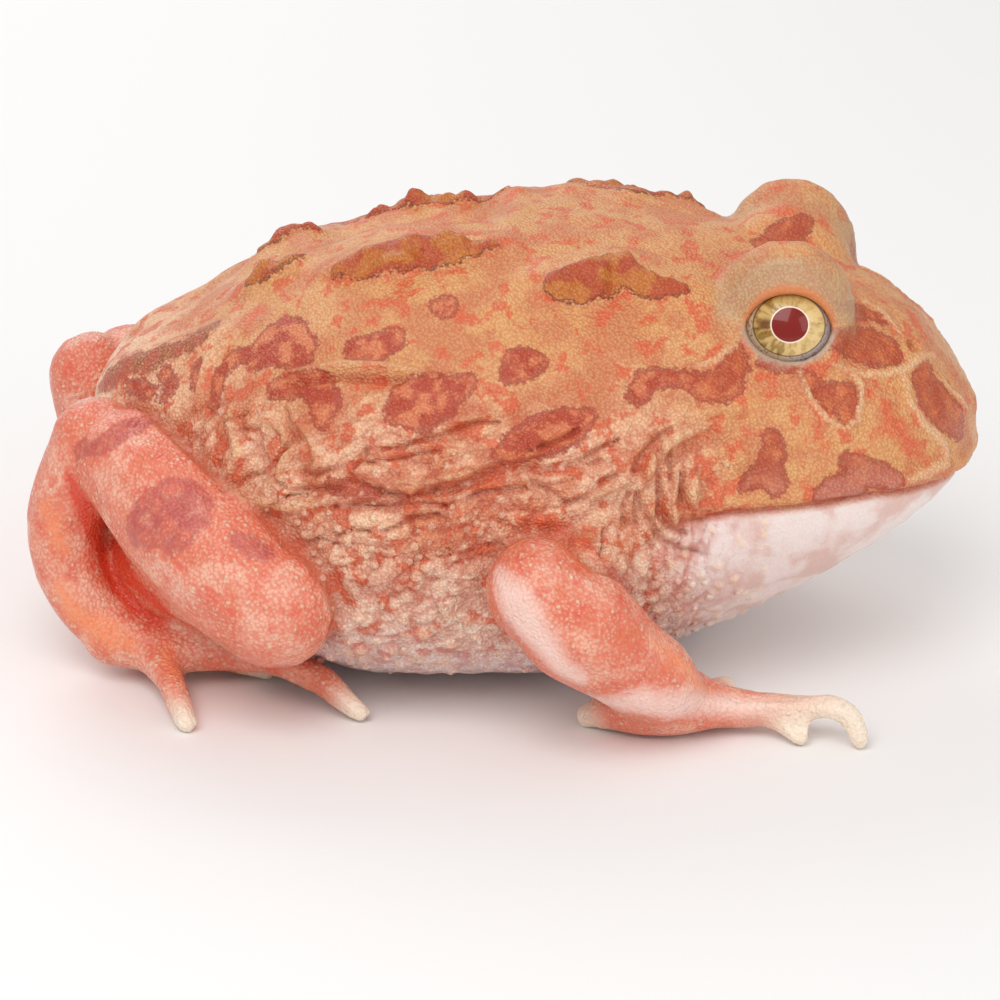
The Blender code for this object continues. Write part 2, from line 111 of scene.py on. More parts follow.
# %% Floor and light
FLOOR_COLOUR = (0.93, 0.925, 0.92, 1)
LAMPS = [  # place in mm, size in mm, strength in watts
    ((-120, -420, 620), 520, 2.62),
    ((520, -380, 300), 380, 0.7),
    ((-260, 480, 420), 420, 1.15),
]


def set_inputs(node, values):
    for name, value in values.items():
        node.inputs[name].default_value = value


stage.view_settings.view_transform = "Standard"
world = bpy.data.worlds.new("studio")
world.use_nodes = True
set_inputs(world.node_tree.nodes["Background"], {"Color": (1.0, 0.99, 0.98, 1), "Strength": 0.55})
stage.world = world

for place, size, watts in LAMPS:
    lamp = bpy.data.objects.new("lamp", bpy.data.lights.new("lamp", "AREA"))
    lamp.data.size = size * MM
    lamp.data.energy = watts
    lamp.location = Vector(place) * MM
    lamp.rotation_mode = "QUATERNION"
    lamp.rotation_quaternion = (AIM - Vector(place)).to_track_quat("-Z", "Y")
    stage.collection.objects.link(lamp)

bm = bmesh.new()
bmesh.ops.create_grid(bm, x_segments=1, y_segments=1, size=3.0)
floor = bpy.data.objects.new("floor", bpy.data.meshes.new("floor"))
bm.to_mesh(floor.data)
bm.free()
floor_paint = bpy.data.materials.new("floor_paint")
floor_paint.use_nodes = True
set_inputs(floor_paint.node_tree.nodes["Principled BSDF"], {"Base Color": FLOOR_COLOUR, "Roughness": 0.7})
floor.data.materials.append(floor_paint)
stage.collection.objects.link(floor)
print("studio:", len(LAMPS), "soft lamps")

# %% [markdown]
# ## One skin from many solids
# A frog has one skin, and the frame is cut into parts with thin gaps between them.
# Copies of the flesh parts are grown a little, so that the gaps close. A voxel remesh then melts them
# into one surface, and smoothing takes away the flat facets of the solids.
# Plain smoothing also shrinks thin toes. A step in and then a slightly longer step out keeps the volume.
# It is done in numpy, because there each point can have a strength of its own.

# %% Helpers for points in millimetres
IN_AND_OUT = (0.5, -0.52)  # shares of the way to the neighbours' mean


def link(name, mesh):
    made = bpy.data.objects.new(name, mesh)
    stage.collection.objects.link(made)
    return made


def points_of(mesh):
    found = np.empty(len(mesh.vertices) * 3)
    mesh.vertices.foreach_get("co", found)
    return found.reshape(-1, 3) / MM


def move_points(mesh, points):
    mesh.vertices.foreach_set("co", (points * MM).ravel())
    mesh.update()


def normals_of(mesh):
    found = np.empty(len(mesh.vertices) * 3)
    mesh.vertex_normals.foreach_get("vector", found)
    return found.reshape(-1, 3)


def triangles_of(mesh):
    return sum(len(face.vertices) - 2 for face in mesh.polygons)


def apply_modifiers(obj):
    """Swaps the object's mesh for the one that its modifiers make."""
    graph = bpy.context.evaluated_depsgraph_get()
    made = bpy.data.meshes.new_from_object(obj.evaluated_get(graph))
    obj.modifiers.clear()
    obj.data = made


def soften(points, edges, passes, strength, steps=IN_AND_OUT):
    """Moves each point towards its neighbours' mean by its own strength."""
    edges = edges[(strength[edges] > 0).any(axis=1)]
    a, b = edges.T
    count = np.maximum(np.bincount(edges.ravel(), minlength=len(points)), 1)[:, None]
    for step in steps * passes:
        total = np.stack(
            [
                np.bincount(a, points[b, k], len(points)) + np.bincount(b, points[a, k], len(points))
                for k in range(3)
            ],
            axis=1,
        )
        points = points + step * strength[:, None] * (total / count - points)
    return points


def distance_from(points, places):
    """How far each point lies from the nearest of these places."""
    return np.min([np.linalg.norm(points - np.array(place), axis=1) for place in places], axis=0)


def smoothstep(low, high, value):
    t = np.clip((value - low) / (high - low), 0, 1)
    return t * t * (3 - 2 * t)


def falling(low, high, value):
    """1 up to low, then a smooth fall to 0 at high."""
    return 1 - smoothstep(low, high, value)


# %% Noise and cells
# The large odd numbers scramble a cell's place into a number that looks random and is the same each run.
HASH_AXES = (73856093, 19349663, 83492791)
HASH_TURN, HASH_SIZE = 1274126177, 4294967291


def scramble(code):
    return (code ^ (code >> 13)) * HASH_TURN % HASH_SIZE


def noise(points, size, seed=0):
    """Smooth noise from -1 to 1 that changes over about this many millimetres."""
    grid = points / size + seed * 17.31
    low = np.floor(grid).astype(np.int64)
    t = grid - low
    t = t * t * (3 - 2 * t)
    total = np.zeros(len(points))
    for corner in itertools.product((0, 1), repeat=3):
        code = scramble(((low + corner) * HASH_AXES).sum(axis=1))
        total += (code / (HASH_SIZE / 2) - 1) * np.prod(np.where(corner, t, 1 - t), axis=1)
    return total


def cells(points, seed=0):
    """How far each point lies from the border of its cell: 0 on the border, near 1 in the middle.

    The cells are about one unit wide, so the points are scaled to the wanted size first.
    """
    low = np.floor(points).astype(np.int64)
    first = np.full(len(points), 9.0)
    second = first.copy()
    for corner in itertools.product((-1, 0, 1), repeat=3):
        corner_cell = low + corner
        code = (corner_cell * HASH_AXES).sum(axis=1) + seed * 7919
        away = np.zeros(len(points))
        for k in range(3):
            code = scramble(code)
            away += (corner_cell[:, k] + 0.15 + 0.7 * code / HASH_SIZE - points[:, k]) ** 2
        away = np.sqrt(away)
        second = np.minimum(second, np.maximum(first, away))
        first = np.minimum(first, away)
    return second - first


# %% [markdown]
# ## Margins of the eyelids
# The frog's eye lies in a ring of moist skin: a thick fold hangs over it, and a thin pale rim holds it
# from below. Each is a tube that follows the opening round the eyeball, thicker at the top.
# They are made before the remesh, so that they grow out of the head's skin without a seam.

# %% Margins of the eyelids
EYE_AXIS = Vector((0.08, 0.92, 0.39)).normalized()
EYE_RADIUS = 6.0
MARGIN_SIZE = (5.45, 4.7)  # half the length and half the height of the opening
MARGIN_THICK = {"top": 1.15, "bottom": 0.45}


def eye_frame(side):
    """Centre of the eyeball, and the directions out, forward and up of the eye, in millimetres."""
    low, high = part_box("eye_right" if side == NEAR else "eye_left")
    out = Vector((EYE_AXIS.x, EYE_AXIS.y * side, EYE_AXIS.z))
    ahead = (Vector((1, 0, 0)) - out * out.x).normalized()
    up = out.cross(ahead)
    if up.z < 0:
        up.negate()
    return (low + high) / 2 / MM, out, ahead, up


def ring_tube(name, route):
    """A closed round tube through points in mm, each with its own radius."""
    curve = bpy.data.curves.new(name, "CURVE")
    curve.dimensions = "3D"
    curve.bevel_depth = MM
    curve.bevel_resolution = 3
    spline = curve.splines.new("POLY")
    spline.points.add(len(route) - 1)
    spline.use_cyclic_u = True
    for point, (place, radius) in zip(spline.points, route):
        point.co = (*(place * MM), 1)
        point.radius = radius
    guide = link(name, curve)
    mesh = bpy.data.meshes.new_from_object(guide.evaluated_get(bpy.context.evaluated_depsgraph_get()))
    bpy.data.objects.remove(guide)
    return mesh


def margin_route(side, steps=48):
    centre, out, ahead, up = eye_frame(side)
    route = []
    for k in range(steps):
        angle = 2 * math.pi * k / steps
        u, v = MARGIN_SIZE[0] * math.cos(angle), MARGIN_SIZE[1] * math.sin(angle)
        share = max(0.0, math.sin(angle)) ** 0.7
        thick = MARGIN_THICK["bottom"] + (MARGIN_THICK["top"] - MARGIN_THICK["bottom"]) * share
        rise = math.sqrt(max(0.1, (EYE_RADIUS + 0.1 + thick * 0.75) ** 2 - u * u - v * v))
        route.append((centre + ahead * u + up * v + out * rise, thick))
    return route


margins = [ring_tube("margin", margin_route(side)) for side in (NEAR, FAR)]
print("eyelid margins:", sum(len(m.vertices) for m in margins), "points")

# %% [markdown]
# ## Melt and smooth
# Near the eyes only the first few passes run, so that the margins stay crisp. The wrist, where the solids
# leave a hard bulb, gets many plain passes, which shrink it, and is swollen again afterwards.

# %% Melt the solids into one skin
GROWTH = 0.2
VOXEL = 0.42
FIRST_PASSES, SKIN_PASSES, WRIST_PASSES = 3, 22, 130
WRIST = (22.0, 35.0, 6.5)  # the middle of the left wrist
WRIST_SWELL = 1.0

bm = bmesh.new()
for name in flesh:
    part = bmesh.new()
    part.from_mesh(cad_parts[name].data)
    bmesh.ops.remove_doubles(part, verts=part.verts, dist=1e-6)
    part.normal_update()
    for vert in part.verts:
        vert.co += vert.normal * GROWTH * MM
    grown = bpy.data.meshes.new("grown")
    part.to_mesh(grown)
    part.free()
    bm.from_mesh(grown)
for margin in margins:
    bm.from_mesh(margin)
skin = link("skin", bpy.data.meshes.new("skin"))
bm.to_mesh(skin.data)
bm.free()
melt = skin.modifiers.new("melt", "REMESH")
melt.mode = "VOXEL"
melt.voxel_size = VOXEL * MM
apply_modifiers(skin)

points = points_of(skin.data)
edges = np.empty(len(skin.data.edges) * 2, np.int64)
skin.data.edges.foreach_get("vertices", edges)
edges = edges.reshape(-1, 2)
eyes = [np.array(eye_frame(side)[0]) for side in (NEAR, FAR)]
to_eye = distance_from(points, eyes)
points = soften(points, edges, FIRST_PASSES, np.ones(len(points)))
points = soften(points, edges, SKIN_PASSES, smoothstep(7.5, 10.0, to_eye))
wrists = [(WRIST[0], WRIST[1] * side, WRIST[2]) for side in (NEAR, FAR)]
at_wrist = falling(5.5, 9.5, distance_from(points - np.array(SHIFT), wrists))
points = soften(points, edges, WRIST_PASSES, at_wrist, steps=(0.5,))
move_points(skin.data, points)
points += normals_of(skin.data) * (WRIST_SWELL * at_wrist)[:, None]
move_points(skin.data, points)
points -= normals_of(skin.data) * GROWTH * smoothstep(6.5, 9.0, to_eye)[:, None]
move_points(skin.data, points)
print("skin:", len(points), "points,", len(edges), "edges")

# %% [markdown]
# ## Where the markings lie
# Each marking is a stroke: a row of balls, given by the pixel where each is seen and by its radius there.
# seen() carries a pixel on to the skin, and depth_in() says how deep a point lies inside a stroke, so
# the same strokes serve for the height of a raised patch and for its colour.
# The other side of the frog gets the strokes mirrored and shifted a little, as no frog is quite even.

# %% Strokes on the skin
surface = bmesh.new()
surface.from_mesh(skin.data)
tree = BVHTree.FromBMesh(surface)
surface.free()


def seen(px, py, radius):
    """Where this pixel lies on the skin, and the radius in mm that so many pixels have there."""
    found = tree.ray_cast(eyepoint * MM, ray(px, py))[0]
    if found is None:
        return None
    found = found / MM
    return np.array(found), radius * (found - eyepoint).length / FOCUS


def placed(stroke):
    """A stroke of pixels as a stroke of points on the skin."""
    return [ball for ball in (seen(*spot) for spot in stroke) if ball]


def mirrored(stroke, shift, scale, inward=1.0):
    """The stroke on the other side, moved by shift in mm, set inward and laid back on the skin."""
    moved = []
    for place, radius in stroke:
        guess = Vector((place[0] + shift[0], -place[1] * inward, place[2] + shift[1])) * MM
        moved.append((np.array(tree.find_nearest(guess)[0] / MM), radius * scale))
    return moved


def depth_in(points, stroke, reach=4.0):
    """How many mm deep each point lies inside the stroke, negative outside it, to no less than -reach."""
    depth = np.full(len(points), -reach)
    centres = np.array([place for place, _ in stroke])
    widest = max(radius for _, radius in stroke) + reach
    near = ((points > centres.min(0) - widest) & (points < centres.max(0) + widest)).all(axis=1)
    close = points[near]
    best = depth[near]
    for (a, ra), (b, rb) in zip(stroke, stroke[1:] or stroke):
        ab = b - a
        t = np.clip((close - a) @ ab / max(ab @ ab, 1e-9), 0, 1)
        away = np.linalg.norm(close - a - t[:, None] * ab, axis=1)
        best = np.maximum(best, ra + (rb - ra) * t - away)
    depth[near] = best
    return depth


def deepest(points, strokes):
    return np.max([depth_in(points, stroke) for stroke in strokes], axis=0)


# %% [markdown]
# ## The marks of this frog
# The lists are read off the picture. A ball is the column and row of its middle and its radius, in pixels.
# The amber patches and the pale lines of the head stand a little above the skin. The others are flat.

# %% Marks read off the picture
def strokes(text):
    """Strokes from text: a comma ends a ball, and a semicolon ends a stroke."""
    return [[tuple(map(int, ball.split())) for ball in stroke.split(",")] for stroke in text.split(";")]


AMBER = strokes("""
548 292 6, 562 287 19, 580 285 25, 598 281 25, 616 270 22, 632 278 17, 651 288 14, 668 288 12,
682 289 7; 340 272 9, 355 267 17, 375 264 21, 400 256 25, 425 254 23, 450 250 20, 472 249 12, 492 245 6;
250 282 7, 268 273 13, 288 265 9, 302 257 5
""")
RUMP = strokes("""
99 388 9, 110 376 15, 130 365 17, 152 357 17, 173 350 15, 195 339 15, 213 326 11, 224 319 5
""")
RUSSET = strokes("""
262 351 20, 280 341 31, 298 350 20; 252 352 9, 235 357 9, 223 370 7, 216 388 6, 213 404 5;
130 385 7, 150 392 8; 165 372 6, 172 388 8, 165 398 6; 198 366 5, 196 382 6;
357 349 12, 375 347 17, 391 340 13; 444 306 13; 512 372 12, 522 364 18, 534 362 11;
398 412 14, 410 398 20, 430 388 15, 455 390 14, 468 382 8; 410 400 15, 420 412 18, 440 405 14;
503 455 8, 520 445 17, 545 435 21, 570 427 18, 586 418 9;
275 388 10, 300 384 12, 318 385 15, 324 402 15, 322 418 8; 330 486 6, 355 490 7, 374 494 5
""")
HEAD_RUSSET = strokes("""
838 340 9, 855 344 17, 875 348 20, 890 352 14; 842 304 6, 862 312 8, 880 320 6;
926 366 8, 925 382 15, 934 398 20, 947 412 21, 957 423 16;
806 377 6, 816 388 10, 830 398 14, 845 400 17, 848 415 11; 762 362 5, 775 366 6, 788 368 5;
738 352 7, 734 370 13, 725 385 16, 705 388 12, 685 378 7, 665 378 8, 648 380 11, 638 392 11;
772 438 9, 775 452 11, 765 468 10, 775 482 13; 765 468 9, 752 478 8, 745 488 5;
848 462 9, 862 470 13, 880 475 12, 895 480 8; 820 495 7, 835 488 12, 855 485 13
""")
INNER_DOME = strokes("""
760 243 9, 777 236 13, 795 229 14, 805 220 9
""")
LEG_RUSSET = strokes("""
134 541 7, 136 521 10, 150 502 12, 172 490 12, 193 489 10, 203 502 9, 200 520 8;
148 535 14, 166 520 15, 182 512 14, 185 535 10, 170 548 8; 236 541 7, 252 545 9, 266 552 8;
150 420 7, 128 428 10, 112 440 10, 95 448 8, 80 450 8
""")
BLUSH = strokes("""
885 408 8, 895 425 12, 910 445 12, 922 455 9; 875 432 8, 895 430 9; 795 409 8; 742 417 7; 817 428 6;
826 445 7; 728 449 8; 707 468 5; 806 483 7; 769 393 7; 143 460 9; 572 556 8, 590 568 9;
622 638 9, 637 634 8; 561 592 7; 589 614 6; 542 581 6
""")

PALE = strokes("""
832 364 3, 863 374 4, 885 375 4, 903 370 5, 917 360 5, 932 355 3;
905 377 4, 908 392 4, 912 405 5, 923 423 6, 937 436 6, 945 449 6, 944 462 6, 925 472 5, 906 479 4;
834 296 3, 850 298 3, 864 301 3, 881 312 4, 892 324 4, 901 335 3;
800 373 3, 812 400 4, 828 420 4, 842 427 3; 853 372 3, 861 385 4, 861 400 4, 858 420 4, 845 430 3;
735 345 4, 715 360 4, 700 366 3; 938 372 2, 952 392 4, 966 408 4;
800 262 4, 775 263 5, 752 275 5, 740 292 4
""")
# The first stroke lays pale pink on the lit side of the forearm, partly painted highlight; the second is the
# hand's own pale pink.
PALE_PINK_AND_HIGHLIGHT = strokes("""
498 575 12, 510 595 22, 526 622 25, 548 650 20, 575 678 16;
600 700 16, 640 702 22, 690 705 21, 730 704 16, 765 706 13
""")
# Deep red in the slit between the near shank and foot, and along the crease of the forearm: partly the
# flesh's own red, partly painted shade.
SLIT_RED_AND_SHADE = strokes("""
70 478 8, 82 502 11, 92 527 12, 101 552 11, 114 580 11, 134 604 10, 160 622 9;
100 520 8, 113 545 10, 124 566 13, 140 588 13, 160 606 11, 186 624 9;
538 524 3, 560 530 4, 585 540 4, 605 556 4, 622 578 4, 632 592 3
""")
ORANGE = strokes("""
60 590 12, 72 612 15, 95 628 17, 125 642 14; 45 505 10, 55 525 12, 62 548 10;
655 640 10, 674 658 13, 694 678 11, 715 690 7; 500 550 8, 520 541 9, 550 538 8, 585 545 7, 612 562 6;
165 650 8, 178 675 9; 240 672 8, 275 683 9, 310 690 8
""")

print("drawn:", len(AMBER), "amber patches and", len(RUSSET + HEAD_RUSSET + LEG_RUSSET), "russet blotches")

# %% Lay the marks on both sides
rng = np.random.default_rng(4)


def both_sides(marks, amount, inward=1.0):
    """The marks on the near side, and again on the far side, each moved by up to so many mm."""
    near = [placed(stroke) for stroke in marks]
    far = [mirrored(s, rng.uniform(-amount, amount, 2), rng.uniform(0.85, 1.15), inward) for s in near if s]
    return near + far


amber = both_sides(AMBER, 0.5, 0.85)
russet = both_sides(RUSSET, 2.0) + both_sides(HEAD_RUSSET, 0.8)
russet += both_sides(INNER_DOME, 0.3) + both_sides(LEG_RUSSET, 1.0)
rump, blush, pale = both_sides(RUMP, 0.8), both_sides(BLUSH, 2.0), both_sides(PALE, 0.3)
pink, red, orange = (both_sides(marks, 1.0) for marks in (PALE_PINK_AND_HIGHLIGHT, SLIT_RED_AND_SHADE, ORANGE))
print("markings:", len(amber), "amber,", len(russet), "russet,", len(rump), "rump,", len(blush), "blush")

# %% [markdown]
# ## Limb or trunk
# The limbs are smooth and the trunk is loose and warty, so the later steps need to know which is which.
# The frame still holds the solids apart, so each point of the skin asks how far the nearest trunk solid
# and the nearest limb solid are. The upper arm counts as trunk, because loose skin hides it. Where both
# are near, a limb is pressed to the trunk and leaves a deep crease, painted dark red: partly the skin's own
# red, partly painted shade.

# %% Limb or trunk
LIMB_WORDS = ("thigh", "shank", "foot", "forearm", "hand")


def tree_of(names):
    bm = bmesh.new()
    for name in names:
        bm.from_mesh(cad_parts[name].data)
    made = BVHTree.FromBMesh(bm)
    bm.free()
    return made


def distance_to(found_in, points):
    return np.array([found_in.find_nearest(Vector(p) * MM)[3] for p in points]) / MM


points = points_of(skin.data)
limb_names = [name for name in flesh if name.startswith(LIMB_WORDS)]
to_trunk = distance_to(tree_of([name for name in flesh if name not in limb_names]), points)
to_limb = distance_to(tree_of(limb_names), points)
limb = smoothstep(-0.5, 0.9, to_trunk - to_limb)
joint = np.exp(-(((to_trunk - to_limb) / 1.1) ** 2)) * falling(1.0, 4.0, to_trunk + to_limb)
print("limb:", round(limb.mean(), 2), "of the points")

# %% [markdown]
# ## Folds, creases and warts
# The loose skin of the flank lies in long rolls, and behind the jaw it hangs in short upright ones.
# The large ones are crests and creases drawn as strokes, like the markings. The fine ones are rounded
# cells, stretched along the body, and only where the skin is loose.
# All of it is added up as one height for each point, and the points are moved by it at the end.

# %% Crests and creases read off the picture
NOSTRIL = (911, 347, 6)
CRESTS = strokes("""
282 374 2, 305 370 4, 340 366 6, 380 366 6, 410 370 4, 440 376 2;
246 332 2, 226 343 5, 212 358 6, 206 378 6, 200 395 5, 193 408 2;
236 398 3, 230 422 8, 238 450 9, 230 478 6; 262 418 3, 285 430 8, 292 450 8, 278 475 8, 262 492 4;
222 478 4, 245 500 9, 290 508 8, 335 500 3; 300 425 2, 312 440 6, 318 462 6, 305 480 2;
350 470 2, 390 486 6, 450 478 6, 500 460 2; 745 412 2, 705 425 7, 672 440 8, 652 465 8, 640 492 3;
700 468 3, 692 492 8, 698 516 4; 678 474 3, 670 503 8, 676 534 4; 657 488 2, 650 515 7, 652 542 3;
560 500 2, 600 492 7, 635 480 3
""")
CREASES = strokes("""
345 482 6, 400 498 7, 460 488 8, 505 468 8, 550 470 6, 600 462 6; 285 385 5, 340 377 6, 400 380 6;
226 425 3, 235 416 3, 245 411 3;
240 427 4, 255 428 5, 258 437 5, 257 445 5, 262 458 6, 268 468 6, 278 457 5, 288 447 5, 295 438 5,
292 428 5, 285 418 4, 283 407 3; 222 488 4, 232 485 4, 245 477 4, 260 472 4, 272 468 4;
272 468 4, 275 482 4, 292 488 4, 308 489 5, 328 488 5, 345 490 5, 378 493 5;
265 512 4, 272 505 4, 285 497 4, 302 495 4; 302 472 4, 310 475 4, 322 472 4, 335 468 4;
353 467 4, 362 457 5, 365 448 4;
378 448 3, 402 445 3, 425 438 4, 445 433 4, 462 425 4, 480 421 4, 500 421 3;
365 463 3, 385 460 3, 402 458 3, 418 453 3, 440 450 3;
332 508 4, 352 507 4, 378 508 4, 402 505 4, 425 505 4, 445 507 4;
382 532 4, 398 527 4, 415 518 4, 432 515 4, 445 520 4; 335 538 3, 352 530 3, 368 533 4;
285 542 3, 302 545 3, 318 542 3, 335 548 3; 470 500 4, 480 493 4, 495 493 4, 510 490 4, 527 487 4;
533 483 4, 547 488 5, 557 497 5, 567 503 5, 583 497 5, 597 490 5, 607 480 5, 620 475 4;
527 452 3, 545 445 4, 560 440 4, 578 430 4; 580 462 3, 592 455 4, 603 447 4, 620 440 3;
637 473 5, 640 460 5, 650 447 5, 662 435 5, 673 428 4;
658 452 4, 658 467 5, 660 487 5, 660 507 5, 663 520 5, 672 530 5, 687 535 4;
671 452 4, 672 467 4, 673 483 4, 672 493 3; 682 473 4, 682 487 4, 683 503 4;
630 493 4, 625 507 5, 625 522 5, 628 527 4; 638 493 3, 637 510 4, 638 523 4;
607 530 4, 607 543 4, 603 553 4; 640 500 4, 648 520 5, 660 540 5, 680 552 4, 705 556 3
""")
print("drawn:", len(CRESTS), "crests and", len(CREASES), "creases")

# %% Sizes of the relief
CREST_HEIGHT = 1.2
CREASE_DEPTH = 0.85
JOINT_DEPTH = 0.7
ROLLS = [  # middle X and reach of the area, slope of the rolls in degrees, length, width and depth in mm
    (-4, 18, 15, 8.0, 2.4, 0.7),
    (-4, 18, 22, 3.6, 1.3, 0.4),
    (24, 9, 82, 7.0, 2.0, 0.5),
    (24, 9, 70, 3.0, 1.2, 0.25),
    (-34, 12, 58, 5.5, 2.4, 0.5),
    (-34, 12, 40, 2.8, 1.3, 0.35),
]
WARTS = [  # how many a side, X from and to, Z from and to, smallest and largest radius in mm
    (110, -26, 22, 5, 22, 0.5, 1.25),
    (260, -30, 24, 4, 24, 0.3, 0.6),
    (90, 16, 34, 7, 26, 0.35, 0.85),
    (40, -34, 16, 24, 36, 0.3, 0.6),
]
ROLL_ROUNDNESS = 0.7  # how far in from its border a roll is still rounded, as a share of its width
LOBES = 120  # round swellings that run into one another on the raised patches
MOUTH_LINE = [  # X and Z of the line between the lips
    (18.0, 23.6), (24.0, 25.6), (30.0, 26.5), (45.0, 26.3), (52.0, 25.6), (57.0, 24.9), (66.0, 24.4),
]
SHAPED = [  # from and to in X, in Y and in Z, whether only where the skin faces up, and how far out in mm
    ((-19, -4), (3, 16), (47, 60), False, -2.8),
    ((30, 37), (28, 42), (1, 9), True, -0.9),
    ((30, 37), (-42, -28), (1, 9), True, -0.9),
    ((-26, -19), (-38, -28), (0, 5), True, 1.0),
    ((-26, -19), (28, 38), (0, 5), True, 1.0),
]
SHAPED_FADE = (6, 8, 3)  # mm over which it fades along X, Y and Z


def along_mouth(points):
    """Height above the line between the lips, in mm."""
    xs, zs = zip(*MOUTH_LINE)
    return points[:, 2] - np.interp(points[:, 0] - SHIFT.x, xs, zs)


def wart_places(points, normals):
    """Seeded places for the large warts: a point of the skin and a radius for each."""
    pick = np.random.default_rng(21)
    found = []
    for count, x0, x1, z0, z1, smallest, largest in WARTS:
        for side in (NEAR, FAR):
            x, z = points[:, 0] - SHIFT.x, points[:, 2]
            there = (x > x0) & (x < x1) & (z > z0) & (z < z1) & (points[:, 1] * side > 14)
            there &= (normals[:, 1] * side > 0.1) & (limb < 0.1) & (joint < 0.1)
            for place in points[pick.choice(np.flatnonzero(there), count, replace=False)]:
                radius = pick.uniform(smallest, largest)
                if all(np.linalg.norm(place - other) > 0.8 * (radius + r) for other, r in found):
                    found.append((place, radius))
    return found


# %% Patches, crests and creases
points, normals = points_of(skin.data), normals_of(skin.data)
x, y, z = (points - np.array(SHIFT)).T

crests, creases = both_sides(CRESTS, 1.0), both_sides(CREASES, 1.0)

amber_depth = deepest(points, amber) + 0.35 * noise(points, 1.6, 3)
height = 0.5 * smoothstep(-0.3, 0.4, amber_depth)

crest_depth = deepest(points, crests)
crease_depth = np.max([depth_in(points, s) / s[0][1] for s in creases], axis=0)
height += CREST_HEIGHT * smoothstep(-0.35, 0.85, crest_depth)
pale_depth = deepest(points, pale)
height += 0.3 * smoothstep(-0.3, 0.4, pale_depth)
height -= CREASE_DEPTH * smoothstep(-0.2, 0.95, crease_depth)
print("so far:", round(height.min(), 2), "to", round(height.max(), 2), "mm")

# %% [markdown]
# ## Rolls of loose skin
# The borders between random cells make good wrinkles: a cell bulges like a cushion, and its border is a
# crease. Noise bends the cells first, so that no crease runs straight.
# A second number keeps how deep a point lies in a crease, because the paint is darker and redder there:
# partly the skin's own red, partly painted shade.

# %% Rolls of loose skin
warp = [noise(points, 7, k) + 0.3 * noise(points, 2.5, k + 20) for k in range(3)]
warped = points + np.stack(warp, axis=1) * 1.8
loose = smoothstep(15, 24, np.abs(y)) * smoothstep(2, 7, z) * falling(38, 47, z)
loose *= smoothstep(-46, -38, x) * falling(24, 33, x) * (1 - limb)
russet_depth = deepest(points, russet)
loose *= (1 - 0.45 * smoothstep(28, 42, z)) * (1 - 0.5 * smoothstep(-0.3, 0.6, russet_depth))
crease_red_and_shade = 0.8 * smoothstep(-0.2, 0.95, crease_depth)
shares = {middle: np.exp(-(((x - middle) / reach) ** 2)) for middle, reach, *_ in ROLLS}
whole = sum(shares.values())
for k, (middle, _, slope, long, wide, deep) in enumerate(ROLLS):
    along = np.array((math.cos(math.radians(slope)), 0.0, math.sin(math.radians(slope))))
    run = warped @ along
    border = cells(np.outer(run / long, along) + (warped - np.outer(run, along)) / wide, seed=k)
    share = loose * shares[middle] / whole * (0.55 + 0.45 * smoothstep(12, 24, z))
    height -= deep * share * (1 - np.sqrt(np.clip(border / ROLL_ROUNDNESS, 0, 1)))
    crease_red_and_shade = np.maximum(crease_red_and_shade, share * falling(0.02, 0.2, border) * min(1.0, deep / 0.5))
height -= JOINT_DEPTH * joint
height += (1 - 0.7 * limb) * (0.1 * noise(points, 1.2, 9) + 0.2 * noise(points, 3.0, 10))
print("loose skin:", round(loose.mean(), 2), "of the points")

# %% [markdown]
# ## Mouth, nostrils and corrections
# The closed mouth is a groove with a rounded upper lip. A nostril is a pit with a low wall round it, set
# where its pixel falls on the snout. Last come the places where the solids differ from the picture: the
# skyline behind the shoulders, the back of the hand and one toe.

# %% Mouth, nostrils and corrections
above = along_mouth(points)
lips = smoothstep(21, 27, x) * smoothstep(14, 18, z)
seam = lips * np.exp(-((above / 0.42) ** 2))
height -= 0.65 * seam
height += 0.4 * lips * np.exp(-(((above - 1.3) / 0.9) ** 2))

nostril = placed([NOSTRIL])
for (place, _), in (nostril, mirrored(nostril, (0, 0), 1.0)):
    across_it = (points - place) / (1.0, 1.0, 0.75)
    away = np.linalg.norm(across_it, axis=1)
    height += 0.4 * np.exp(-(((away - 1.5) / 0.5) ** 2)) - 0.9 * np.exp(-((away / 0.8) ** 2))
    # The nostril pit is painted darker red as well: painted shade.
    crease_red_and_shade = np.maximum(crease_red_and_shade, 0.8 * np.exp(-((away / 0.75) ** 2)))

for *ranges, up_facing, amount in SHAPED:
    within = 1.0
    for (low, high), fade, value in zip(ranges, SHAPED_FADE, (x, y, z)):
        within = within * (smoothstep(low - fade, low, value) * falling(high, high + fade, value))
    height += amount * within * (smoothstep(0.1, 0.8, normals[:, 2]) if up_facing else 1)
print("mouth and", len(nostril) * 2, "nostrils")

# %% [markdown]
# ## Large warts
# Warts are domes strewn at random over the flanks, cheeks and shoulders, the largest low on the flank.
# The same domes, set close together, make the lumpy top of the amber patches.

# %% Large warts
kd = KDTree(len(points))
for k, place in enumerate(points):
    kd.insert(place, k)
kd.balance()
wart = np.zeros(len(points))


def raise_domes(domes, share):
    for place, radius in domes:
        for _, k, away in kd.find_range(place, radius):
            dome = 1 - (away / radius) ** 2
            wart[k] = max(wart[k], dome)
            height[k] += radius * share * dome**1.2


warts = wart_places(points, normals)
raise_domes(warts, 0.5)
cream = wart.copy()
pick = np.random.default_rng(8)
ridge_points = np.flatnonzero(amber_depth > 0.4)
raise_domes([(points[k], pick.uniform(0.9, 1.9)) for k in pick.choice(ridge_points, LOBES)], 0.3)

to_eye = distance_from(points, eyes)
height *= smoothstep(6.9, 9.0, to_eye) * smoothstep(0.0, 1.5, z)
print("relief:", round(height.min(), 2), "to", round(height.max(), 2), "mm,", len(warts), "large warts")

# %% [markdown]
# ## What the paint reads
# The paint is procedural, and reads a few numbers stored on the skin's points: how deep a point lies in
# each kind of marking, and whether it is on the flank, belly, throat, a limb, an eyelid or a fingertip.
# They are stored before the skin is thinned, because Decimate carries them over.

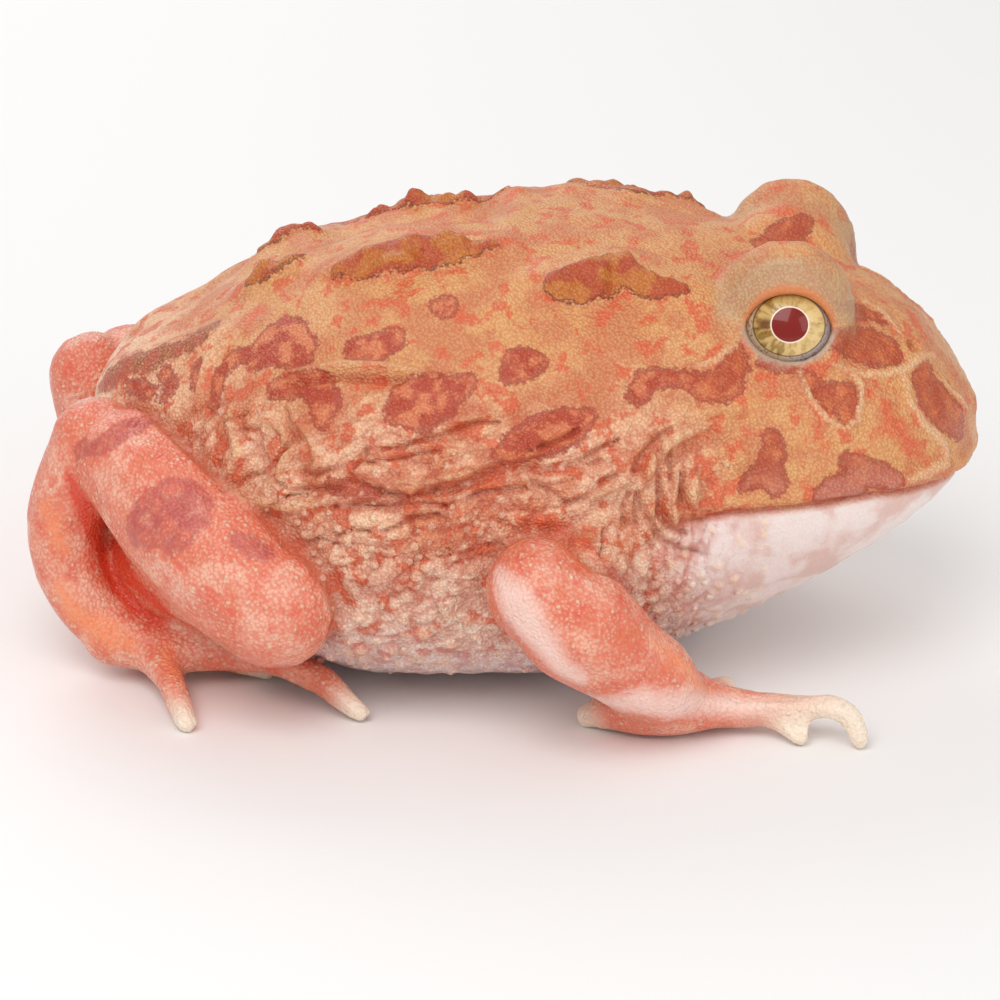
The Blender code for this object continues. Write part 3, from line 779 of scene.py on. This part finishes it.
# %% Fingertips and eyelids
TIPS = [  # a place on the left side and how far the pale colour reaches, in mm
    (45.0, 34.0, 2.5, 18.0), (38.5, 34.3, 1.2, 8.0), (29.4, 21.5, 1.2, 7.0), (-13.8, 32.5, 1.2, 6.0),
    (-34.1, 37.0, 1.2, 6.0), (-26.5, 22.0, 1.2, 5.0), (13.0, 31.2, 1.3, 6.0),
]

tip = np.zeros(len(points))
for tx, ty, tz, reach in TIPS:
    for side in (NEAR, FAR):
        away = np.linalg.norm(points - np.array((tx, ty * side, tz)) - np.array(SHIFT), axis=1)
        tip = np.maximum(tip, falling(reach * 0.1, reach, away))
lid, lower, rim = np.zeros((3, len(points)))
for side in (NEAR, FAR):
    centre, out, ahead, up = (np.array(v) for v in eye_frame(side))
    u, v, w = ((points - centre) @ d for d in (ahead, up, out))
    ring = np.hypot(u / MARGIN_SIZE[0], v / MARGIN_SIZE[1])
    rim = np.maximum(rim, (w > 0) * falling(0.92, 1.05, ring) * smoothstep(-1.2, 0.2, v))
    dome = 0.7 * falling(8.5, 11.0, np.linalg.norm(points - centre, axis=1)) * smoothstep(43, 49, z)
    over = (w > 0) * falling(1.5, 1.85, ring) * smoothstep(1.0, 1.1, ring) * smoothstep(-2.0, 2.0, v)
    under = (w > 0) * falling(0.98, 1.1, ring) * falling(-1.2, 0.6, v)
    lid = np.maximum(lid, np.maximum(over * 0.8, dome))
    lower = np.maximum(lower, under)
print("eyelids:", np.count_nonzero(lid), "points, fingertips:", np.count_nonzero(tip))


# %% Store the markings on the skin
def store(mesh, numbers):
    for name, values in numbers.items():
        attribute = mesh.attributes.new(name, "FLOAT", "POINT")
        attribute.data.foreach_set("value", np.asarray(values, np.float32))


warty = smoothstep(-0.1, 0.6, noise(points, 5, 11)) * loose
markings = {
    "amber": deepest(points, amber),
    "russet": russet_depth + 0.35,
    "rump": deepest(points, rump),
    "blush": deepest(points, blush),
    "limb": limb,
    "belly": (1 - limb) * falling(6, 15, z + 3 * noise(points, 5, 2)),
    "pale": np.maximum(pale_depth, crest_depth - 0.35),
    "pink": deepest(points, pink),
    "low": (1 - limb) * falling(14, 27, z + 3 * noise(points, 6, 5)),
    "red": deepest(points, red),
    "orange": deepest(points, orange),
    "throat": (1 - limb) * smoothstep(18, 28, x) * falling(-1.0, 0.3, above),
    "flank": (1 - limb) * falling(32, 46, z + 3 * noise(points, 6, 4)) * falling(20, 32, x),
    "tip": tip,
    "lid": lid,
    "lower": lower,
    "rim": rim,
    "wart": cream,
    # Creases, the mouth line, the nostrils and the limb joints are painted darker and redder: partly the
    # skin's own red, partly painted shade.
    "crease_red_and_shade": np.maximum(np.maximum(crease_red_and_shade * smoothstep(3, 12, z), seam), 0.9 * joint),
    "warty": warty * falling(24, 36, z) * smoothstep(2, 4, z),
}
store(skin.data, markings)
points = soften(points + normals * height[:, None], edges, 8, smoothstep(0.05, 0.4, joint))
move_points(skin.data, points)
print("stored", len(markings), "numbers on", len(points), "points")

# %% [markdown]
# ## Thin the mesh where it is plain
# A voxel mesh spends as many faces on the belly as on the wrinkles. Decimate removes those that change
# the shape least, so that the detail stays within a fixed number of triangles.

# %% Thin the skin
MOST_TRIANGLES = 196000
skin.data.shade_smooth()
before = triangles_of(skin.data)
if before > MOST_TRIANGLES:
    thin = skin.modifiers.new("thin", "DECIMATE")
    thin.ratio = MOST_TRIANGLES / before
    apply_modifiers(skin)
skin.data.shade_smooth()
print("thinned from", before, "to", triangles_of(skin.data), "triangles")

# %% [markdown]
# ## Skin paint
# The skin is a translucent, slightly wet surface of tiny granules. A cell texture makes the
# granules: each gets a painted highlight on top, and the creases between them get painted shade, darker and
# redder.
# The helpers below add one node each to net, the node tree of the paint that is being made.

# %% Helpers for shader nodes
def add(tree, kind, inputs, output=0, **settings):
    """A shader node with these settings; an input is a value, or a socket to link from."""
    made = tree.nodes.new(kind)
    for key, value in settings.items():
        setattr(made, key, value)
    for key, value in inputs.items():
        if isinstance(value, bpy.types.NodeSocket):
            tree.links.new(value, made.inputs[key])
        else:
            made.inputs[key].default_value = value
    return made.outputs[output]


def new_paint(name):
    """A material, its node tree, its shader, and where each point of the surface lies."""
    made = bpy.data.materials.new(name)
    made.use_nodes = True
    tree = made.node_tree
    return made, tree, tree.nodes["Principled BSDF"], add(tree, "ShaderNodeTexCoord", {}, "Object")


def stored(name):
    """A number that is stored on the points."""
    return add(net, "ShaderNodeAttribute", {}, "Fac", attribute_name=name)


def step(value, low, high, top=1.0):
    """0 up to low, then a smooth rise to top at high."""
    numbers = {0: value, 1: low, 2: high, 3: 0.0, 4: top}
    return add(net, "ShaderNodeMapRange", numbers, interpolation_type="SMOOTHSTEP")


def math_node(operation):
    return lambda a, b: add(net, "ShaderNodeMath", {0: a, 1: b}, operation=operation)


def mixed(share, a, b, blend="MIX"):
    """Colour a, with this share of colour b over it."""
    return add(net, "ShaderNodeMix", {0: share, 6: a, 7: b}, 2, data_type="RGBA", blend_type=blend)


def texture_noise(where, size, detail=2.0):
    numbers = {"Vector": where, "Scale": 1 / (size * MM), "Detail": detail}
    return add(net, "ShaderNodeTexNoise", numbers, "Fac")


def cell_texture(where, size):
    """How far a place lies from the middle of its cell."""
    return add(net, "ShaderNodeTexVoronoi", {"Vector": where, "Scale": 1 / (size * MM)}, "Distance")


plus, minus, times, larger = map(math_node, ("ADD", "SUBTRACT", "MULTIPLY", "MAXIMUM"))

# %% Colours of the skin, as shares of red, green and blue
TAN = (0.78, 0.405, 0.15, 1)
TAN_WARM = (0.70, 0.28, 0.11, 1)
FLANK = (0.73, 0.29, 0.145, 1)
FLANK_PALE = (0.97, 0.66, 0.43, 1)
LOW = (0.70, 0.44, 0.34, 1)
LOW_PALE = (0.93, 0.80, 0.66, 1)
LIMB = (0.80, 0.24, 0.14, 1)
LIMB_PALE = (0.90, 0.47, 0.33, 1)
LIMB_RED = (0.76, 0.11, 0.06, 1)
BELLY = (0.90, 0.81, 0.79, 1)
BELLY_DARK = (0.73, 0.54, 0.55, 1)
THROAT = (0.89, 0.77, 0.73, 1)
THROAT_PINK = (0.76, 0.51, 0.45, 1)
FLECK = (0.76, 0.16, 0.055, 1)
AMBER_TOP = (0.60, 0.205, 0.03, 1)
AMBER_RED = (0.52, 0.09, 0.02, 1)
OUTLINE = (0.20, 0.045, 0.02, 1)
RUSSET_FILL = (0.50, 0.065, 0.02, 1)
RUSSET_PALE = (0.76, 0.25, 0.10, 1)
RUSSET_MAUVE = (0.66, 0.29, 0.21, 1)
RUSSET_EDGE = (0.38, 0.045, 0.02, 1)
HEAD_BROWN = (0.49, 0.085, 0.02, 1)
HEAD_ORANGE = (0.71, 0.21, 0.06, 1)
LEG_RUSSET_FILL = (0.54, 0.095, 0.075, 1)
RUMP_BROWN = (0.40, 0.12, 0.035, 1)
RUMP_RED = (0.50, 0.11, 0.045, 1)
CREAM = (0.93, 0.70, 0.50, 1)
PALE_LINE = (0.86, 0.57, 0.31, 1)
PINK_FLESH_AND_HIGHLIGHT = (0.97, 0.66, 0.57, 1)
DEEP_RED_AND_SHADE = (0.74, 0.06, 0.02, 1)
ORANGE_FLUSH = (0.95, 0.31, 0.13, 1)
TIP = (0.95, 0.82, 0.66, 1)
# Deep red for creases and hollows: partly the skin's own red, partly painted shade.
CREASE_RED_AND_SHADE = (0.52, 0.085, 0.035, 1)
LID_GREY = (0.52, 0.35, 0.19, 1)
LOWER_LID = (0.50, 0.36, 0.27, 1)
RIM_ORANGE = (0.70, 0.24, 0.08, 1)
GRANULE = 0.38  # mm across
SPOT = 1.15  # mm between the pale spots of the limbs
LIMB_GRAIN = 0.46  # mm across
print("granules", GRANULE, "mm, limb spots", SPOT, "mm apart")

# %% [markdown]
# ## Ground colours
# Patchy noise mixes two or three tones in each region: tan on the back, cream and red on the flank, pink
# and red on the limbs. A granule takes its own shade, so that it lies wholly inside or outside a patch.

# %% Ground colours
paint, net, shader, where = new_paint("skin_paint")

grain = cell_texture(where, GRANULE)
shade = add(net, "ShaderNodeSeparateColor", {0: grain.node.outputs["Color"]})
spots = cell_texture(where, SPOT)
fine = texture_noise(where, 0.3, 2.0)
patchy = texture_noise(where, 5.5, 4.0)
speckle = texture_noise(where, 2.4, 4.0)
wobble = minus(texture_noise(where, 1.6, 2.0), 0.5)
limb_share, crease_red_and_shade_share = stored("limb"), stored("crease_red_and_shade")
smooth_share = larger(limb_share, stored("throat"))
for name, share in (("lid", 0.5), ("rim", 1.0), ("lower", 1.0)):
    smooth_share = larger(smooth_share, times(stored(name), share))

jitter = times(minus(shade, 0.5), 0.035)
speckle_grain = plus(speckle, jitter)
skin_back = mixed(step(patchy, 0.42, 0.6), TAN, TAN_WARM)
skin_flank = mixed(step(plus(patchy, jitter), 0.44, 0.62), FLANK_PALE, FLANK)
low_ground = mixed(step(speckle_grain, 0.46, 0.60), LOW_PALE, LOW)
skin_flank = mixed(times(stored("low"), 0.8), skin_flank, low_ground)
skin_limb = mixed(step(patchy, 0.36, 0.56), LIMB_PALE, LIMB)
skin_limb = mixed(step(speckle_grain, 0.54, 0.68, 0.6), skin_limb, LIMB_RED)
limb_grain = cell_texture(where, LIMB_GRAIN)
tops = times(step(limb_grain, 0.38, 0.08, 0.5), step(patchy, 0.34, 0.58))
skin_limb = mixed(tops, skin_limb, CREAM)
# Painted shade: the grooves between the limb granules are darkened red.
skin_limb = mixed(step(limb_grain, 0.40, 0.66, 0.45), skin_limb, LIMB_RED)
scattered = times(step(spots, 0.30, 0.14), step(speckle, 0.38, 0.52))
skin_limb = mixed(times(scattered, 0.6), skin_limb, CREAM)
colour = mixed(stored("flank"), skin_back, skin_flank)
colour = mixed(step(speckle_grain, 0.53, 0.61, 0.85), colour, FLECK)
colour = mixed(limb_share, colour, skin_limb)
skin_belly = mixed(step(speckle, 0.42, 0.6), BELLY, BELLY_DARK)
colour = mixed(stored("belly"), colour, skin_belly)
skin_throat = mixed(step(patchy, 0.46, 0.64, 0.9), THROAT, THROAT_PINK)
colour = mixed(stored("throat"), colour, skin_throat)

# %% [markdown]
# ## Markings
# A marking reads how deep a point lies inside its strokes. Noise is added to that depth, which makes the
# outline ragged. Soft flushes come first, then blotches, rump and pale lines, and the amber patches with
# their thin dark outline last.

# %% Markings
FLUSHES = [  # name, colour, its share inside and at the border, width, raggedness and softness of the border
    # Pale pink: partly a painted highlight on the arm, partly the hand's own colour.
    ("pink", PINK_FLESH_AND_HIGHLIGHT, 1.0, 0.5, 2.0, 1.0, 0.6),
    ("orange", ORANGE_FLUSH, 0.75, 0.4, 1.4, 2.6, 0.8),
    # The deep red of the slit and the forearm's crease is partly painted shade.
    ("red", DEEP_RED_AND_SHADE, 0.92, 0.5, 0.7, 0.8, 0.5),
    ("blush", FLECK, 1.0, 0.5, 1.5, 1.4, 0.4),
]


def marking(name, colour, fill, edge, width, spread=1.0, soft=0.12):
    """Lays one kind of marking over the colour: a ragged edge in one tone, and the fill inside it."""
    depth = plus(stored(name), times(wobble, spread))
    depth = plus(depth, times(jitter, 12.0))
    colour = mixed(step(depth, -soft, soft), colour, edge)
    return mixed(step(depth, soft * 0.4, width), colour, fill)


def flush(colour, name, tint, inside, border, width, spread, soft):
    """A soft marking that tints the colour under it."""
    edge = mixed(border, colour, tint)
    return marking(name, colour, mixed(inside, colour, tint), edge, width, spread, soft)


axes = add(net, "ShaderNodeSeparateXYZ", {0: where}).node.outputs
on_head = step(axes["X"], 16 * MM, 34 * MM)
low_down = step(axes["Z"], 34 * MM, 25 * MM, 0.75)
amber_fill = mixed(step(texture_noise(where, 3.0, 2.0), 0.4, 0.58), AMBER_RED, AMBER_TOP)
russet_fill = mixed(step(speckle_grain, 0.42, 0.58), RUSSET_FILL, RUSSET_PALE)
russet_fill = mixed(step(grain, 0.34, 0.10, 0.18), russet_fill, TAN_WARM)
head_fill = mixed(step(texture_noise(where, 2.6, 3.0), 0.46, 0.66), HEAD_BROWN, HEAD_ORANGE)
russet_fill = mixed(times(on_head, 0.8), russet_fill, head_fill)
russet_fill = mixed(low_down, russet_fill, RUSSET_MAUVE)
leg_fill = mixed(step(speckle_grain, 0.40, 0.64, 0.7), LEG_RUSSET_FILL, skin_limb)
rump_fill = mixed(step(speckle, 0.45, 0.55), RUMP_BROWN, RUMP_RED)
for row in FLUSHES:
    colour = flush(colour, *row)
on_limb = marking("russet", colour, leg_fill, mixed(0.7, colour, LEG_RUSSET_FILL), 1.2, 1.4, 0.35)
on_trunk = marking("russet", colour, russet_fill, mixed(0.8, colour, RUSSET_EDGE), 0.9, 1.2, 0.18)
colour = mixed(limb_share, on_trunk, on_limb)
rump_fill = mixed(step(fine, 0.5, 0.7, 0.6), rump_fill, colour)
colour = marking("rump", colour, rump_fill, mixed(0.6, colour, RUMP_RED), 0.5, 3.0, 0.4)
colour = flush(colour, "pale", PALE_LINE, 0.85, 0.45, 0.4, 0.5, 0.25)
colour = marking("amber", colour, amber_fill, OUTLINE, 0.3, 0.7)
# Painted shade: creases, mouth line, nostrils and joints are darkened to a deep red, over the skin's own red
# there.
colour = mixed(times(crease_red_and_shade_share, 0.75), colour, CREASE_RED_AND_SHADE)
colour = mixed(step(stored("wart"), 0.05, 0.85, 0.6), colour, CREAM)
colour = mixed(stored("tip"), colour, TIP)
colour = mixed(stored("lid"), colour, LID_GREY)
colour = mixed(stored("rim"), colour, RIM_ORANGE)
colour = mixed(stored("lower"), colour, LOWER_LID)
print("paint so far:", len(net.nodes), "nodes")

# %% [markdown]
# ## Granules and gloss
# The granules get painted shade in their grooves and a painted highlight on their tops, and the same cells
# drive the bump. On the limbs the cells are finer, the spots stand up a little, and the skin is smoother and
# shinier.
# A thin clear coat gives the moist look, and a little light passes under the surface.

# %% Granules and gloss
rough_share = minus(1.0, times(smooth_share, 0.8))
# Painted shade: the grooves between the granules are darkened with the fleck colour.
groove = mixed(0.6, colour, FLECK, "MULTIPLY")
colour = mixed(times(step(grain, 0.34, 0.62, 0.56), rough_share), colour, groove)
# Painted highlight: a warm screen lightens the tops of the granules.
lit = mixed(0.35, colour, (1.0, 0.92, 0.8, 1), "SCREEN")
colour = mixed(times(step(grain, 0.30, 0.05, 0.42), rough_share), colour, lit)
net.links.new(colour, shader.inputs["Base Color"])

pebbles = minus(times(fine, 0.3), times(grain, rough_share))
pebbles = plus(pebbles, times(times(scattered, limb_share), 0.5))
pebbles = minus(pebbles, times(limb_grain, times(limb_share, 0.8)))
bump = add(net, "ShaderNodeBump", {"Height": pebbles, "Strength": 0.85, "Distance": 0.26 * MM}, "Normal")
net.links.new(bump, shader.inputs["Normal"])
rough = add(net, "ShaderNodeMapRange", {0: patchy, 1: 0.35, 2: 0.65, 3: 0.36, 4: 0.5})
rough = minus(rough, times(limb_share, 0.14))
net.links.new(rough, shader.inputs["Roughness"])
set_inputs(shader, {
    "Subsurface Weight": 0.1, "Subsurface Radius": (1.0, 0.4, 0.25), "Subsurface Scale": 1.2 * MM,
    "Coat Weight": 0.12, "Coat Roughness": 0.12,
})
skin.data.materials.clear()
skin.data.materials.append(paint)
print("skin paint:", len(net.nodes), "nodes")

# %% [markdown]
# ## Small warts
# Besides the large warts, hundreds of pearly grains sit on the flanks and cheeks. Each is a low
# ball, half sunk in the skin. Geometry Nodes strew them: points are spread over the skin no closer than
# a set spacing and only where the skin is warty, a ball is put on each, and the result is made real.
# The points carry the skin's stored numbers with them, so the grains take the same paint.

# %% Small warts
SMALL_WARTS = {  # metres, and for the density the most points on a square metre
    "Spacing": 1.2 * MM, "Density": 900000.0, "Smallest": 0.25 * MM, "Largest": 0.65 * MM, "Seed": 5,
}


def wart_tree():
    tree = bpy.data.node_groups.new("small_warts", "GeometryNodeTree")
    face = tree.interface
    face.new_socket("Geometry", in_out="INPUT", socket_type="NodeSocketGeometry")
    kinds = {**dict.fromkeys(SMALL_WARTS, "Float"), "Seed": "Int", "Paint": "Material"}
    for name, kind in kinds.items():
        face.new_socket(name, in_out="INPUT", socket_type="NodeSocket" + kind)
    face.new_socket("Geometry", in_out="OUTPUT", socket_type="NodeSocketGeometry")
    given = tree.nodes.new("NodeGroupInput").outputs
    field = add(tree, "GeometryNodeInputNamedAttribute", {"Name": "warty"}, data_type="FLOAT")
    spread = tree.nodes.new("GeometryNodeDistributePointsOnFaces")
    spread.distribute_method = "POISSON"
    links = {"Mesh": "Geometry", "Distance Min": "Spacing", "Density Max": "Density", "Seed": "Seed"}
    for name, source in links.items():
        tree.links.new(given[source], spread.inputs[name])
    tree.links.new(field, spread.inputs["Density Factor"])
    marked = add(tree, "GeometryNodeStoreNamedAttribute",
                 {"Geometry": spread.outputs["Points"], "Name": "wart", "Value": 0.5},
                 data_type="FLOAT", domain="POINT")
    ball = add(tree, "GeometryNodeMeshUVSphere", {"Segments": 7, "Rings": 5, "Radius": 1.0}, "Mesh")
    ball = add(tree, "GeometryNodeTransform", {"Geometry": ball, "Scale": (1.0, 1.0, 0.55)})
    size = add(tree, "FunctionNodeRandomValue",
               {2: given["Smallest"], 3: given["Largest"], "Seed": given["Seed"]}, 1, data_type="FLOAT")
    placed_balls = add(tree, "GeometryNodeInstanceOnPoints",
                       {"Points": marked, "Instance": ball, "Scale": size,
                        "Rotation": spread.outputs["Rotation"]})
    real = add(tree, "GeometryNodeRealizeInstances", {"Geometry": placed_balls})
    smooth = add(tree, "GeometryNodeSetShadeSmooth", {"Geometry": real})
    painted = add(tree, "GeometryNodeSetMaterial", {"Geometry": smooth, "Material": given["Paint"]})
    tree.links.new(painted, tree.nodes.new("NodeGroupOutput").inputs["Geometry"])
    return tree


def grow(name, source, tree, values):
    """A mesh made by the tree from the source's mesh, with the tree's named inputs set."""
    made = link(name, source.data.copy())
    modifier = made.modifiers.new("grow", "NODES")
    modifier.node_group = tree
    for item in tree.interface.items_tree:
        if item.in_out == "INPUT" and item.name in values:
            modifier[item.identifier] = values[item.name]
    apply_modifiers(made)
    return made


small_warts = grow("small_warts", skin, wart_tree(), {**SMALL_WARTS, "Paint": paint})
print("small warts:", triangles_of(small_warts.data), "triangles")

# %% [markdown]
# ## Eyes
# The iris is gold with dark flecks, brown at both corners, and the pupil is a dark red disc with a
# thin pale rim. The top of the iris is darkened with a painted shadow of the upper lid, and a dark line
# round the iris is painted shade for the depth of the eye. The paint reads how far a point lies from the
# middle of the eye, which is stored on the eyeball's points, and a clear coat gives the wet gloss.

# %% Eye paint
IRIS_CREAM = (0.78, 0.56, 0.25, 1)
IRIS_GOLD = (0.63, 0.42, 0.155, 1)
IRIS_OLIVE = (0.31, 0.17, 0.028, 1)
IRIS_BROWN = (0.16, 0.055, 0.012, 1)
IRIS_LINE = (0.06, 0.04, 0.025, 1)
RING_BEIGE = (0.60, 0.44, 0.29, 1)
RING_GREY = (0.40, 0.31, 0.29, 1)
PUPIL_RIM = (0.93, 0.80, 0.64, 1)
PUPIL_RED = (0.22, 0.008, 0.005, 1)
eye_paint, net, shader, where = new_paint("eye_paint")
radius, corner = stored("iris_radius"), stored("iris_corner")
edge, front = stored("iris_edge"), stored("iris_front")
turn = add(net, "ShaderNodeCombineXYZ", {
    "X": stored("iris_cos"), "Y": stored("iris_sin"), "Z": times(radius, 0.35)})
streaks = add(net, "ShaderNodeTexNoise", {"Vector": turn, "Scale": 5.0, "Detail": 5.0}, "Fac")
specks = texture_noise(where, 0.35, 3.0)
gold = mixed(step(streaks, 0.42, 0.60), IRIS_CREAM, IRIS_GOLD)
shadow = mixed(step(streaks, 0.40, 0.62), IRIS_GOLD, IRIS_OLIVE)
gold = mixed(step(front, 0.5, -0.6), gold, shadow)
# Painted shadow of the upper lid: the top of the iris is darkened to olive.
rise = times(edge, stored("iris_sin"))
gold = mixed(step(rise, 0.4, 0.95, 0.5), gold, IRIS_OLIVE)
gold = mixed(step(corner, 0.15, 0.9, 0.9), gold, IRIS_BROWN)
gold = mixed(step(times(streaks, specks), 0.36, 0.42, 0.7), gold, IRIS_BROWN)
skin_ring = mixed(step(front, -0.5, 0.6), RING_BEIGE, RING_GREY)
skin_ring = mixed(step(specks, 0.56, 0.62, 0.6), skin_ring, IRIS_LINE)
# Painted shade: a dark line round the edge of the iris stands for the depth of the eye.
gold = mixed(step(edge, 0.97, 0.995), gold, mixed(0.85, gold, IRIS_LINE))
gold = mixed(step(edge, 1.0, 1.03), gold, skin_ring)
rim = mixed(step(radius, 1.06, 1.12), PUPIL_RIM, gold)
colour = mixed(step(radius, 1.0, 1.03), PUPIL_RED, rim)
net.links.new(colour, shader.inputs["Base Color"])
set_inputs(shader, {"Roughness": 0.3, "Specular IOR Level": 0.15, "Coat Weight": 0.6, "Coat Roughness": 0.03})
print("eye paint:", len(net.nodes), "nodes")

# %% Eyeballs
PUPIL = (2.12, 2.0)  # half its length and half its height
IRIS = (4.25, 3.67)
BEHIND = 3  # added to a distance on the back of the ball, so that no iris is painted there

for side, word in ((NEAR, "right"), (FAR, "left")):
    centre, out, ahead, up = eye_frame(side)
    bm = bmesh.new()
    bmesh.ops.create_icosphere(bm, subdivisions=5, radius=EYE_RADIUS * MM)
    bmesh.ops.translate(bm, vec=centre * MM, verts=bm.verts)
    eye = link("eyeball_" + word, bpy.data.meshes.new("eyeball_" + word))
    bm.to_mesh(eye.data)
    bm.free()
    local = points_of(eye.data) - np.array(centre)
    u, v, w = local @ np.array(ahead), local @ np.array(up), local @ np.array(out)
    store(eye.data, {
        "iris_radius": np.hypot(u / PUPIL[0], v / PUPIL[1]) + BEHIND * (w < 0),
        "iris_edge": np.hypot(u / IRIS[0], v / IRIS[1]) + BEHIND * (w < 0),
        "iris_front": u / EYE_RADIUS * 1.6,
        "iris_cos": u / np.maximum(np.hypot(u, v), 0.3),
        "iris_sin": v / np.maximum(np.hypot(u, v), 0.3),
        "iris_corner": np.where(u < 0, 1.0, 0.4) * np.exp(-(((np.abs(u) - 2.9) / 1.0) ** 2) - (v / 0.8) ** 2),
    })
    eye.data.shade_smooth()
    eye.data.materials.append(eye_paint)
    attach(eye, "root")
    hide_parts("eye_" + word)
print("eyes: 2")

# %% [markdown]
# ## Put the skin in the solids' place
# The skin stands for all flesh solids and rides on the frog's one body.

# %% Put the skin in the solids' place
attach(skin, "root")
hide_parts(*flesh)
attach(small_warts, "root")
